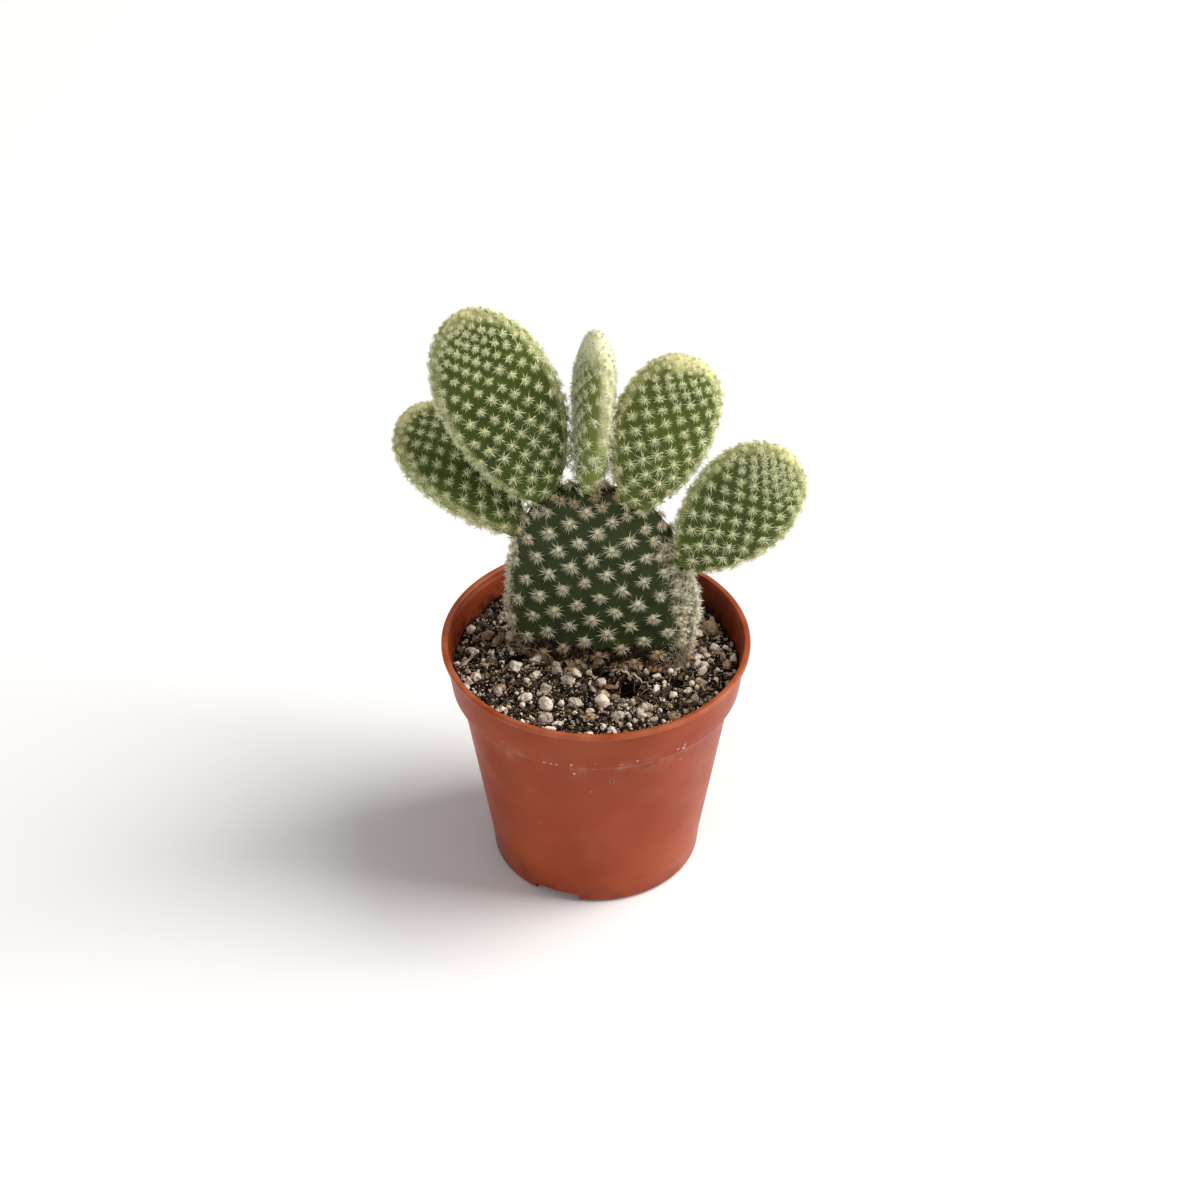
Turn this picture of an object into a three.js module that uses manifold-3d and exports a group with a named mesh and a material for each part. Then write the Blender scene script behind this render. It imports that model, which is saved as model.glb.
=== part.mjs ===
// A potted bunny ears cactus: one old pad with five young pads on its edge, planted in a gritty
// mix in a round, thin-walled nursery pot. Millimetres, +Z up.
// The origin is the centre of the pot's footprint on the surface that it stands on, and the side
// that the plant is looked at from is -Y.

import * as THREE from "three";
import { mergeVertices } from "three/addons/utils/BufferGeometryUtils.js";
import Module from "manifold-3d";

const wasm = await Module();
wasm.setup();

const { clamp, degToRad, lerp } = THREE.MathUtils;

// Driving dimensions

// The clearance between two pieces that touch on the real thing.
const SEAT_GAP = 0.3;

const POT = {
  height: 72,
  rimRadius: 42.5,
  lipWidth: 1.75,
  lipHeight: 1.5,
  lipRounding: 0.5,
  lipChamfer: 0.3,
  lipInnerDrop: 0.8,
  wall: 1.1,
  collarTopRadius: 41.4,
  collarFootRadius: 39.9,
  collarFootHeight: 58.8,
  ledgeWidth: 0.7,
  ledgeDrop: 1,
  bodyTopRadius: 37.6,
  bodyTopHeight: 56.9,
  bodyFootRadius: 28.9,
  footRounding: 3.1,
  footRoundingSteps: 4,
  footRadius: 25.9,
  footRingWidth: 1.3,
  footRingDraft: 0.3,
  floorUnderside: 3,
  floorThickness: 1.2,
  segments: 60,
};

const DRAINAGE = {
  notches: 3,
  notchWidth: 13,
  notchHeight: 2.8,
  firstNotchTurn: -112.7,
  holeDiameter: 6,
  ringRadius: 17.5,
  holeSegments: 16,
};

const SOIL = {
  level: 62.6,
  hollowDepth: 1.6,
  hollowRadius: 6,
  hollowX: 8,
  hollowY: -11.5,
  topRings: 8,
  waveHeight: 0.4,
};

// The mix's surface rolls in long waves: radians per millimetre along X and along Y, and the phase.
const SOIL_WAVES = [
  [0.21, 0.24, 0.2],
  [0.21, -0.24, 1],
  [0.3, 0.35, 0],
];

// Each pad grows along its own axis from a base point. It leans sideways (to +X) and back (to +Y),
// and turns about its axis. Taper moves its widest place towards the tip and narrows its base, and
// bend carries the tip across. Blunt is under 0.5 for an outline with square shoulders.
const PADS = {
  main_pad: {
    base: [2.1, 2.6, 43.1], leanSide: 0.8, leanBack: 9, turn: 7,
    length: 72, width: 51, thickness: 15, taper: 0, bend: -4.2, blunt: 0.46,
  },
  pad_left: {
    base: [-12.9, 12.2, 109.4], leanSide: -22.3, leanBack: 12, turn: -12,
    length: 59.5, width: 31.5, thickness: 9.5, taper: 0.16, bend: -1.1, blunt: 0.5,
  },
  pad_far_left: {
    base: [-19.6, 12, 97.9], leanSide: -40.8, leanBack: 32, turn: -30,
    length: 46.6, width: 26, thickness: 9, taper: 0.38, bend: -2.5, blunt: 0.5,
  },
  pad_center: {
    base: [-2.1, 10.7, 112], leanSide: 3, leanBack: 24, turn: 77,
    length: 45.2, width: 24, thickness: 8.5, taper: 0.22, bend: 0.9, blunt: 0.5,
  },
  pad_right: {
    base: [10.3, 8.5, 109.1], leanSide: 17.6, leanBack: 17, turn: -4,
    length: 45.7, width: 27, thickness: 9, taper: 0.2, bend: 1.2, blunt: 0.5,
  },
  pad_far_right: {
    base: [22.9, 4.5, 92.7], leanSide: 41.8, leanBack: 12, turn: 4,
    length: 44.7, width: 27.8, thickness: 9, taper: 0.2, bend: -0.6, blunt: 0.5,
  },
};

const PAD_MESH = {
  segmentsAround: 28,
  segmentsAlong: 18,
  squareness: 2.4,
  endFullness: 0.3,
};

// The larger pieces of the mix that lie on top: place, length, width, height and turn.
const GRAINS = {
  perlite_grain: [
    [-34.6, 5.4, 4.3, 3.6, 3.2, 20],
    [-22.2, -1.9, 4.4, 3.9, 3.4, 75],
    [-16.6, -5.4, 3.6, 2.6, 2.4, 10],
    [-19.1, -15.4, 4.6, 3.4, 3, 25],
    [-25.6, -20.2, 3.9, 2.2, 2.2, -38],
    [16.6, -12.2, 3.7, 2.4, 2.4, 100],
    [28.2, 1.4, 3.1, 2.8, 2.7, 0],
    [33.2, 6.2, 3.1, 3, 2.8, 40],
    [4.4, -29.4, 3.6, 2.9, 2.4, 15],
    [-9.5, 27.5, 4.2, 3.4, 3, 60],
    [19.5, 26.2, 3.8, 3, 2.6, 130],
  ],
  pumice_grain: [
    [6, -23.4, 4.5, 3.7, 3.4, -20],
    [-7.9, -8.9, 4.6, 3.8, 3, 35],
    [13.6, -19.4, 4.3, 3.7, 3, 60],
    [-13.7, -23.6, 5.2, 3.8, 3, 5],
    [-5.4, -17.4, 4.9, 3.5, 3, -15],
    [-13.8, -12, 4.6, 3.8, 3.1, 80],
    [-25.5, 20.5, 4.8, 4, 3.2, 15],
    [4.5, 31.5, 5, 3.8, 3.2, 95],
  ],
  bark_chip: [
    [31.6, 15.4, 6.4, 5, 5, 30],
    [2.2, -12.6, 4.8, 3.2, 2.6, 40],
    [-26.6, -10.4, 3.7, 3, 2.6, 0],
    [36, -1.2, 3.8, 3.1, 2.7, 85],
    [21.2, -21.6, 4.4, 3.2, 2.6, 20],
    [28.6, -8.6, 3.8, 3, 2.8, -30],
    [-30.2, 12.4, 4.4, 3.2, 2.8, 65],
    [-1.2, -23.2, 4.6, 2.2, 2, -35],
  ],
};

// Lump depth is a share of a grain's size, and sunk the share of its height that is in the mix.
const GRAIN_SHAPE = {
  sunk: 0.35,
  lumpDepth: 0.13,
  lumpFrequency: 2.3,
};

const FINISHES = {
  nursery_pot: { color: 0x9a4e37, roughness: 0.5, metalness: 0 },
  potting_mix: { color: 0x2a211b, roughness: 0.98, metalness: 0 },
  old_pad: { color: 0x3b5536, roughness: 0.62, metalness: 0 },
  young_pad: { color: 0x587a35, roughness: 0.6, metalness: 0 },
  perlite_grain: { color: 0xd9cfc0, roughness: 0.9, metalness: 0 },
  pumice_grain: { color: 0x8a8682, roughness: 0.92, metalness: 0 },
  bark_chip: { color: 0x8c7454, roughness: 0.9, metalness: 0 },
};

// Solids and meshes

const WELD_DISTANCE = 1e-4;

function solidOf(geometry) {
  const bare = geometry.clone();
  bare.deleteAttribute("normal");
  bare.deleteAttribute("uv");
  const merged = mergeVertices(bare, WELD_DISTANCE);
  return new wasm.Manifold(new wasm.Mesh({
    numProp: 3,
    vertProperties: new Float32Array(merged.attributes.position.array),
    triVerts: new Uint32Array(merged.index.array),
  }));
}

function geometryOf(solid) {
  const { vertProperties, triVerts } = solid.getMesh();
  const geometry = new THREE.BufferGeometry();
  geometry.setAttribute("position", new THREE.BufferAttribute(vertProperties, 3));
  geometry.setIndex(new THREE.BufferAttribute(triVerts, 1));
  geometry.computeVertexNormals();
  return geometry;
}

function finishedMesh(name, geometry, finish) {
  const mesh = new THREE.Mesh(geometry, new THREE.MeshStandardMaterial(FINISHES[finish]));
  mesh.name = name;
  return mesh;
}

function turned(profile) {
  const points = profile.map(([radius, height]) => new THREE.Vector2(radius, height));
  return new THREE.LatheGeometry(points, POT.segments).rotateX(Math.PI / 2);
}

// The pot

const FLOOR_TOP = POT.floorUnderside + POT.floorThickness;
const LIP_FOOT = POT.height - POT.lipHeight;
// The height at which the inside widens from the body to the collar.
const INNER_LEDGE = POT.bodyTopHeight + POT.wall / 2;

// The pot's outer wall slopes in a straight line from the foot to just below the collar.
function bodyRadiusAt(height) {
  const rise = (height - POT.footRounding) / (POT.bodyTopHeight - POT.footRounding);
  return lerp(POT.bodyFootRadius, POT.bodyTopRadius, rise);
}

// The collar's outer wall slopes on, a step further out, up to the lip.
function collarRadiusAt(height) {
  const rise = (height - POT.collarFootHeight) / (LIP_FOOT - POT.collarFootHeight);
  return lerp(POT.collarFootRadius, POT.collarTopRadius, rise);
}

function footRoundingPoints() {
  const across = POT.bodyFootRadius - POT.footRadius;
  return Array.from({ length: POT.footRoundingSteps + 1 }, (_, step) => {
    const angle = (step / POT.footRoundingSteps) * (Math.PI / 2);
    const radius = POT.footRadius + across * Math.sin(angle);
    return [radius, POT.footRounding * (1 - Math.cos(angle))];
  });
}

// From the axis under the floor, round the foot, up the outside, over the lip and down the inside.
function potProfile() {
  const ringInner = POT.footRadius - POT.footRingWidth;
  const lipInner = POT.rimRadius - POT.lipWidth;
  return [
    [0, POT.floorUnderside],
    [ringInner + POT.footRingDraft, POT.floorUnderside],
    [ringInner, 0],
    ...footRoundingPoints(),
    [POT.bodyTopRadius, POT.bodyTopHeight],
    [POT.collarFootRadius - POT.ledgeWidth, POT.collarFootHeight - POT.ledgeDrop],
    [POT.collarFootRadius, POT.collarFootHeight],
    [POT.collarTopRadius, LIP_FOOT - POT.lipChamfer],
    [POT.rimRadius - POT.lipChamfer, LIP_FOOT],
    [POT.rimRadius, LIP_FOOT + POT.lipChamfer],
    [POT.rimRadius, POT.height - POT.lipRounding],
    [POT.rimRadius - POT.lipRounding, POT.height],
    [lipInner + POT.lipRounding, POT.height],
    [lipInner, POT.height - POT.lipRounding],
    [POT.collarTopRadius - POT.wall, LIP_FOOT - POT.lipInnerDrop],
    [POT.collarFootRadius - POT.wall, POT.collarFootHeight],
    [POT.bodyTopRadius - POT.wall, INNER_LEDGE],
    [bodyRadiusAt(FLOOR_TOP) - POT.wall, FLOOR_TOP],
    [0, FLOOR_TOP],
  ];
}

// A turn of 0.5 notches from a notch is halfway to the next one.
function notchTurn(index) {
  return degToRad(DRAINAGE.firstNotchTurn + (index * 360) / DRAINAGE.notches);
}

// The cutter spans the foot ring and the rounding outside it.
function notchCutter(index) {
  const ringInner = POT.footRadius - POT.footRingWidth;
  const inside = ringInner - POT.footRingWidth;
  const outside = POT.bodyFootRadius + POT.footRingWidth;
  const box = new THREE.BoxGeometry(outside - inside, DRAINAGE.notchWidth, 2 * DRAINAGE.notchHeight);
  box.translate((inside + outside) / 2, 0, 0);
  return solidOf(box.rotateZ(notchTurn(index)));
}

function drainHoleCutter(distance, turn) {
  const bore = DRAINAGE.holeDiameter / 2;
  const through = 2 * FLOOR_TOP;
  const hole = new THREE.CylinderGeometry(bore, bore, through, DRAINAGE.holeSegments);
  hole.rotateX(Math.PI / 2);
  return solidOf(hole.translate(distance * Math.cos(turn), distance * Math.sin(turn), FLOOR_TOP));
}

// One hole is in the middle of the floor and one is halfway between each two notches.
function buildPot() {
  let pot = solidOf(turned(potProfile())).subtract(drainHoleCutter(0, 0));
  for (let i = 0; i < DRAINAGE.notches; i += 1) {
    pot = pot.subtract(notchCutter(i));
    pot = pot.subtract(drainHoleCutter(DRAINAGE.ringRadius, notchTurn(i + 0.5)));
  }
  return finishedMesh("nursery_pot", geometryOf(pot), "nursery_pot");
}

// The pads

function padFrame({ leanSide, leanBack, turn }) {
  const side = degToRad(leanSide);
  const back = degToRad(leanBack);
  const along = new THREE.Vector3(
    Math.sin(side), Math.cos(side) * Math.sin(back), Math.cos(side) * Math.cos(back));
  const across = new THREE.Vector3(1, 0, 0).addScaledVector(along, -along.x).normalize();
  across.applyAxisAngle(along, degToRad(-turn));
  const facing = new THREE.Vector3().crossVectors(across, along);
  return { along, across, facing };
}

// The half-width of a pad's outline at t, from 0 at its base to 1 at its tip.
function outlineHalfWidth({ width, taper, blunt }, t) {
  const widest = (blunt + taper) / (2 * blunt + taper);
  const shape = (s) => (s * (1 - s)) ** blunt * s ** taper;
  return (width / 2) * (shape(t) / shape(widest));
}

// A pad is a sphere drawn out to its outline, its sections rounded rectangles rather than ellipses.
// Grow makes the pad larger all round, for the seat that a neighbour is cut to.
function padGeometry(pad, grow = 0) {
  const { along, across, facing } = padFrame(pad);
  const sphere = new THREE.SphereGeometry(1, PAD_MESH.segmentsAround, PAD_MESH.segmentsAlong);
  const place = sphere.attributes.position;
  const point = new THREE.Vector3();
  const grown = { ...pad, width: pad.width + 2 * grow };
  const eased = (value) => Math.sign(value) * Math.abs(value) ** (2 / PAD_MESH.squareness);
  for (let i = 0; i < place.count; i += 1) {
    point.fromBufferAttribute(place, i);
    const t = clamp((1 + point.y) / 2, 0, 1);
    const ring = Math.hypot(point.x, point.z);
    const atEnd = ring < WELD_DISTANCE;
    const fullness = 1 + PAD_MESH.endFullness * point.y * point.y;
    const halfThickness = (pad.thickness / 2 + grow) * ring * fullness;
    const sideways = atEnd ? 0 : outlineHalfWidth(grown, t) * eased(point.x / ring);
    const outwards = atEnd ? 0 : halfThickness * eased(point.z / ring);
    point.set(...pad.base)
      .addScaledVector(along, t * (pad.length + 2 * grow) - grow)
      .addScaledVector(across, sideways + pad.bend * t * t)
      .addScaledVector(facing, outwards);
    place.setXYZ(i, point.x, point.y, point.z);
  }
  return sphere;
}

// A young pad's base is cut to the old pad's edge that it grows from.
function buildPads() {
  const { main_pad: oldPad, ...youngPads } = PADS;
  const seat = solidOf(padGeometry(oldPad, SEAT_GAP));
  const young = Object.entries(youngPads).map(([name, pad]) => {
    const solid = solidOf(padGeometry(pad)).subtract(seat);
    return finishedMesh(name, geometryOf(solid), "young_pad");
  });
  return [finishedMesh("main_pad", padGeometry(oldPad), "old_pad"), ...young];
}

// The mix and the grains on it

function soilHeight(x, y) {
  const waves = SOIL_WAVES.map(([alongX, alongY, phase]) => Math.sin(alongX * x + alongY * y + phase));
  const rolling = SOIL.waveHeight * waves.reduce((sum, wave) => sum + wave, 0);
  const away = Math.hypot(x - SOIL.hollowX, y - SOIL.hollowY) / SOIL.hollowRadius;
  return SOIL.level + rolling - SOIL.hollowDepth * Math.exp(-away * away);
}

// From the axis on the floor, up inside the wall and in over the top in rings.
function soilProfile() {
  const bottom = FLOOR_TOP + SEAT_GAP;
  const inset = POT.wall + SEAT_GAP;
  const collarInset = inset + SEAT_GAP / 2;
  const edge = collarRadiusAt(SOIL.level) - collarInset;
  const top = Array.from({ length: SOIL.topRings + 1 }, (_, ring) => [
    edge * (1 - ring / SOIL.topRings), SOIL.level,
  ]);
  return [
    [0, bottom],
    [bodyRadiusAt(bottom) - inset, bottom],
    [POT.bodyTopRadius - inset, INNER_LEDGE],
    [POT.collarFootRadius - collarInset, POT.collarFootHeight + SEAT_GAP],
    ...top,
  ];
}

function soilGeometry() {
  const soil = turned(soilProfile());
  const place = soil.attributes.position;
  for (let i = 0; i < place.count; i += 1) {
    if (Math.abs(place.getZ(i) - SOIL.level) < WELD_DISTANCE) {
      place.setZ(i, soilHeight(place.getX(i), place.getY(i)));
    }
  }
  return soil;
}

// How far a grain's surface stands out at a point of the unit sphere, as a share of its size.
function lumpAt({ x, y, z }, seed) {
  const f = GRAIN_SHAPE.lumpFrequency;
  const ridges = Math.sin(f * x + seed);
  const knobs = Math.sin(f * y + 2 * seed) * Math.cos(f * z + 3 * seed);
  return GRAIN_SHAPE.lumpDepth * (ridges + knobs);
}

function grainGeometry([x, y, length, width, height, turn], seed, grow = 0) {
  const grain = new THREE.IcosahedronGeometry(1, 1);
  const place = grain.attributes.position;
  const point = new THREE.Vector3();
  const halfSize = new THREE.Vector3(length / 2 + grow, width / 2 + grow, height / 2 + grow);
  for (let i = 0; i < place.count; i += 1) {
    point.fromBufferAttribute(place, i);
    point.multiplyScalar(1 + lumpAt(point, seed)).multiply(halfSize);
    place.setXYZ(i, point.x, point.y, point.z);
  }
  grain.rotateZ(degToRad(turn));
  return grain.translate(x, y, soilHeight(x, y) + height * (0.5 - GRAIN_SHAPE.sunk));
}

// The mix fills the pot and gives way to the old pad's buried end and to the grains set in its top.
function buildMixAndGrains() {
  let mix = solidOf(soilGeometry()).subtract(solidOf(padGeometry(PADS.main_pad, SEAT_GAP)));
  const grains = [];
  for (const [kind, places] of Object.entries(GRAINS)) {
    places.forEach((place, index) => {
      const seed = index + kind.length;
      mix = mix.subtract(solidOf(grainGeometry(place, seed, SEAT_GAP)));
      grains.push(finishedMesh(`${kind}_${index + 1}`, grainGeometry(place, seed), kind));
    });
  }
  return [finishedMesh("potting_mix", geometryOf(mix), "potting_mix"), ...grains];
}

const group = new THREE.Group();
group.add(buildPot(), ...buildMixAndGrains(), ...buildPads());

export default group;
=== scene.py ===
"""A potted bunny ears cactus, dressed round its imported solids.

Blender works in metres with +Z up, in the row's own frame. The sizes in the classes below are in
millimetres and become metres where a mesh is made.
"""

from __future__ import annotations

import logging
import math
from dataclasses import dataclass, field
from enum import Enum

import bmesh
import bpy
import numpy as np
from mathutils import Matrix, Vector
from numpy.random import default_rng


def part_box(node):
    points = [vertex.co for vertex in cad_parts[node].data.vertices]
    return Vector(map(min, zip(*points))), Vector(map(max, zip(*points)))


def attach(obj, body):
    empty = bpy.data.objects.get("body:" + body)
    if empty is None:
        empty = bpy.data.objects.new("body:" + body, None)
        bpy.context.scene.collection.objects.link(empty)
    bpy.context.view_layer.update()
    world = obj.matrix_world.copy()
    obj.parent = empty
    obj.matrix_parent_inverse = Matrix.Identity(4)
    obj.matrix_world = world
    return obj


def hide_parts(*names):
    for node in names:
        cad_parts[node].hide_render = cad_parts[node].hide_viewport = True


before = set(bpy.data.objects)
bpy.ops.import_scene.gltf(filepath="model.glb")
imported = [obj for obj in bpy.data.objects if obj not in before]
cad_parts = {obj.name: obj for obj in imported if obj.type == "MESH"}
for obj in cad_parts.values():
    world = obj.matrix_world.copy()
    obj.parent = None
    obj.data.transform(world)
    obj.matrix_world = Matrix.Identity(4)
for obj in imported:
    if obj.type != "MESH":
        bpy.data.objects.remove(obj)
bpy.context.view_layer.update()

MM = 0.001
BODY = "root"
GOLDEN_TURN = (math.sqrt(5) - 1) / 2

# The mix node's sockets for colours. They share their names with those for numbers.
MIX_SHARE, MIX_UNDER, MIX_OVER, MIX_RESULT = 0, 6, 7, 2

# Short names for the types that most signatures hold.
Array = np.ndarray
Rng = np.random.Generator
Socket = bpy.types.NodeSocket
Tree = bpy.types.NodeTree
Material = bpy.types.Material
Pair = tuple[float, float]
Triple = tuple[float, float, float]

# Points, faces, and for each name one number for each point.
Part = tuple[Array, Array, dict[str, Array]]

log = logging.getLogger("cactus")


# Shared tools


def srgb(code: str) -> tuple[float, float, float, float]:
    """Turns an sRGB hex colour into the linear one that shaders take.

    Args:
        code: the colour as "#rrggbb".

    Returns:
        Linear red, green, blue and an alpha of 1.
    """
    parts = [int(code[i : i + 2], 16) / 255 for i in (1, 3, 5)]
    linear = [p / 12.92 if p <= 0.04045 else ((p + 0.055) / 1.055) ** 2.4 for p in parts]
    return (*linear, 1.0)


def per_size(size_mm: float) -> float:
    """The scale of a pattern node whose features are that many millimetres across."""
    return 1.0 / (size_mm * MM)


def add_node(
    tree: Tree,
    kind: str,
    links: dict[str | int, object] | None = None,
    output: str | int = 0,
    **settings: object,
) -> Socket | None:
    """Adds a shader node with its settings, values and links.

    Args:
        tree: the node tree that gets the node.
        kind: the node's type name, without the ShaderNode that every one starts with.
        links: for each input by name or number, the output that feeds it or the value that it holds.
        output: the name or number of the output that the caller wants.
        settings: the node's own properties.

    Returns:
        That output of the new node, or None where the node has none.
    """
    node = tree.nodes.new("ShaderNode" + kind)
    for name, value in settings.items():
        setattr(node, name, value)
    for name, value in (links or {}).items():
        if isinstance(value, Socket):
            tree.links.new(value, node.inputs[name])
        else:
            node.inputs[name].default_value = value
    return node.outputs[output] if node.outputs else None


def smooth_step(low: float, high: float, value: Array) -> Array:
    """Rises smoothly from 0 at low to 1 at high."""
    share = np.clip((value - low) / (high - low), 0.0, 1.0)
    return share * share * (3.0 - 2.0 * share)


def unit(vectors: Array) -> Array:
    """The vectors at length 1."""
    return vectors / np.maximum(np.linalg.norm(vectors, axis=-1, keepdims=True), 1e-9)


def waviness(
    points: Array, size: float, rng: Rng, waves: int = 9
) -> Array:
    """Smooth, seeded unevenness, about -1 to 1: the sum of waves in random directions.

    Args:
        points: places in millimetres, three numbers each in the last dimension.
        size: the length of a wave in millimetres.
        rng: the seeded source of directions and phases.
        waves: how many waves are summed.

    Returns:
        One number for each point.
    """
    directions = unit(rng.normal(size=(waves, points.shape[-1])))
    pitch = math.tau / size * rng.uniform(0.6, 1.5, (waves, 1))
    phases = rng.uniform(0, math.tau, waves)
    return np.sin(points @ (directions * pitch).T + phases).sum(-1) / math.sqrt(waves)


def make_piece(
    name: str,
    points: Array,
    faces: Array,
    material: Material,
    attributes: dict[str, Array] | None = None,
    replaces: tuple[str, ...] = (),
    flat: bool = False,
) -> bpy.types.Object:
    """Makes one piece of the object from points and faces, and seats it on the row's body.

    Args:
        name: the piece's name.
        points: its vertices in millimetres.
        faces: vertex numbers, one row for each face.
        material: its material.
        attributes: for each name, one number for each vertex that the material reads.
        replaces: the CAD nodes that it stands for.
        flat: True leaves the faces flat-shaded.

    Returns:
        The new object.
    """
    mesh = bpy.data.meshes.new(name)
    mesh.vertices.add(len(points))
    mesh.vertices.foreach_set("co", (points * MM).astype(np.float32).ravel())
    mesh.loops.add(faces.size)
    mesh.loops.foreach_set("vertex_index", faces.astype(np.int32).ravel())
    mesh.polygons.add(len(faces))
    mesh.polygons.foreach_set("loop_start", np.arange(0, faces.size, faces.shape[1], dtype=np.int32))
    mesh.update(calc_edges=True)
    mesh.polygons.foreach_set("use_smooth", np.full(len(faces), not flat))
    for key, values in (attributes or {}).items():
        write_values(mesh, key, values)
    mesh.materials.append(material)
    piece = add_object(name, mesh)
    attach(piece, BODY)
    if replaces:
        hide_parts(*replaces)
    log.info("%s: %d faces", piece.name, len(mesh.polygons))
    return piece


def add_object(name: str, data: bpy.types.ID) -> bpy.types.Object:
    """Puts a new object in the scene.

    Args:
        name: its name.
        data: its mesh, camera or light.

    Returns:
        The object.
    """
    made = bpy.data.objects.new(name, data)
    bpy.context.scene.collection.objects.link(made)
    return made


def write_values(mesh: bpy.types.Mesh, name: str, values: Array) -> None:
    """Writes one number for each vertex, for a material to read by name."""
    layer = mesh.attributes.new(name, "FLOAT", "POINT")
    layer.data.foreach_set("value", values.astype(np.float32))


def around(radius: Array | float, turns: Array, height: Array | float) -> Array:
    """Points round the upright axis, at turns in radians from +X."""
    spots = np.broadcast_arrays(radius * np.cos(turns), radius * np.sin(turns), height)
    return np.stack(spots, -1)


def closed_faces(rows: int, columns: int) -> Array:
    """Triangles over a closed form: rings of points, and then one point at each end.

    Args:
        rows: how many rings there are.
        columns: how many points each ring has.

    Returns:
        Three vertex numbers for each triangle.
    """
    here = np.arange(columns)
    after = (here + 1) % columns
    low = (np.arange(rows - 1) * columns)[:, None]
    first = np.stack([low + here, low + after, low + columns + after], -1)
    second = np.stack([low + here, low + columns + after, low + columns + here], -1)
    foot = np.full(columns, rows * columns)
    top = (rows - 1) * columns
    ends = np.stack([foot, after, here], -1), np.stack([foot + 1, top + here, top + after], -1)
    return np.concatenate([first.reshape(-1, 3), second.reshape(-1, 3), *ends])


def repeated(pattern: Array, count: int, size: int) -> Array:
    """The faces of many alike parts that have size points each, from the faces of one."""
    return (np.arange(count)[:, None, None] * size + pattern).reshape(-1, pattern.shape[-1])


def join_parts(parts: list[Part]) -> Part:
    """Joins parts into one.

    Args:
        parts: the parts, each with values of the same names.

    Returns:
        The joined part.
    """
    offsets = np.cumsum([0, *[len(part[0]) for part in parts[:-1]]])
    faces = np.concatenate([part[1] + offset for part, offset in zip(parts, offsets)])
    values = {name: np.concatenate([part[2][name] for part in parts]) for name in parts[0][2]}
    return np.concatenate([part[0] for part in parts]), faces, values


# Finishes. Each is named for what the real surface is and how it was made.


class Finish:
    """What every finish shares: a material that ends in one Principled shader with a bumped surface."""

    name = ""

    def build(self) -> Material:
        """Makes the material.

        Returns:
            The material.
        """
        material = bpy.data.materials.new(self.name)
        material.use_nodes = True
        tree = material.node_tree
        tree.nodes.clear()
        self.dress(tree, add_node(tree, "TexCoord", output="Object"))
        return material

    def shared(self) -> Material:
        """The material, made the first time that it is asked for."""
        return bpy.data.materials.get(self.name) or self.build()

    def dress(self, tree: Tree, place: Socket) -> None:
        """Lays the finish's own colours and relief.

        Args:
            tree: the material's node tree.
            place: the object coordinates.
        """
        raise NotImplementedError

    def close(
        self,
        tree: Tree,
        sockets: dict[str, object],
        relief: Socket | None = None,
        depth_mm: float = 0.1,
        strength: float = 1.0,
    ) -> None:
        """Ends the material in a Principled shader.

        Args:
            tree: the material's node tree.
            sockets: the shader's inputs.
            relief: the height that bumps the surface, from 0 to 1.
            depth_mm: how deep that height is.
            strength: how much of it shows.
        """
        if relief is not None:
            bump = {"Height": relief, "Distance": depth_mm * MM, "Strength": strength}
            sockets = sockets | {"Normal": add_node(tree, "Bump", bump)}
        add_node(tree, "OutputMaterial", {"Surface": add_node(tree, "BsdfPrincipled", sockets)})


class Coat:
    """What stains, speckles and tints share: a second colour that is laid over a finish."""

    colour: str

    def spread(self, tree: Tree, place: Socket) -> Socket:
        """Where the coat shows, which each kind finds its own way.

        Args:
            tree: the material's node tree.
            place: the object coordinates.

        Returns:
            How much of it shows, from 0 to 1.
        """
        raise NotImplementedError

    def lay(self, tree: Tree, place: Socket, under: object, *masks: Socket) -> Socket:
        """Lays the coat over a colour.

        Args:
            tree: the material's node tree.
            place: the object coordinates.
            under: the colour that it lies on.
            masks: values from 0 to 1 that each hold it back.

        Returns:
            The coated colour.
        """
        share = self.spread(tree, place)
        for mask in masks:
            share = add_node(tree, "Math", {0: share, 1: mask}, operation="MULTIPLY")
        layers = {MIX_SHARE: share, MIX_UNDER: under, MIX_OVER: srgb(self.colour)}
        return add_node(tree, "Mix", layers, MIX_RESULT, data_type="RGBA")


@dataclass(frozen=True)
class Stain(Coat):
    """Patches of a real size. They start where a noise passes low and are full above high."""

    colour: str
    size_mm: float
    low: float
    high: float
    most: float = 1.0
    detail: float = 5.0

    def spread(self, tree: Tree, place: Socket) -> Socket:
        """Where the patches are."""
        noise = {"Vector": place, "Scale": per_size(self.size_mm), "Detail": self.detail}
        limits = {"From Min": self.low, "From Max": self.high, "To Max": self.most}
        return add_node(tree, "MapRange", {"Value": add_node(tree, "TexNoise", noise), **limits})


@dataclass(frozen=True)
class Speckle(Coat):
    """Round specks, strewn at a real size and distance in a share of the cells."""

    colour: str
    cell_mm: float
    speck_mm: float
    share: float
    most: float = 1.0
    softness: float = 0.5

    def spread(self, tree: Tree, place: Socket) -> Socket:
        """Where the specks are, softened at their edges."""
        cells = {"Vector": place, "Scale": per_size(self.cell_mm), "Randomness": 1.0}
        away = add_node(tree, "TexVoronoi", cells)
        drawn = add_node(tree, "SeparateColor", {"Color": away.node.outputs["Color"]})
        reach = self.speck_mm / self.cell_mm
        ends = {"From Min": reach, "From Max": reach * (1 - self.softness), "To Max": self.most}
        specks = add_node(tree, "MapRange", {"Value": away, **ends})
        chosen = add_node(tree, "Math", {0: drawn, 1: 1 - self.share}, operation="GREATER_THAN")
        return add_node(tree, "Math", {0: specks, 1: chosen}, operation="MULTIPLY")


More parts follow.
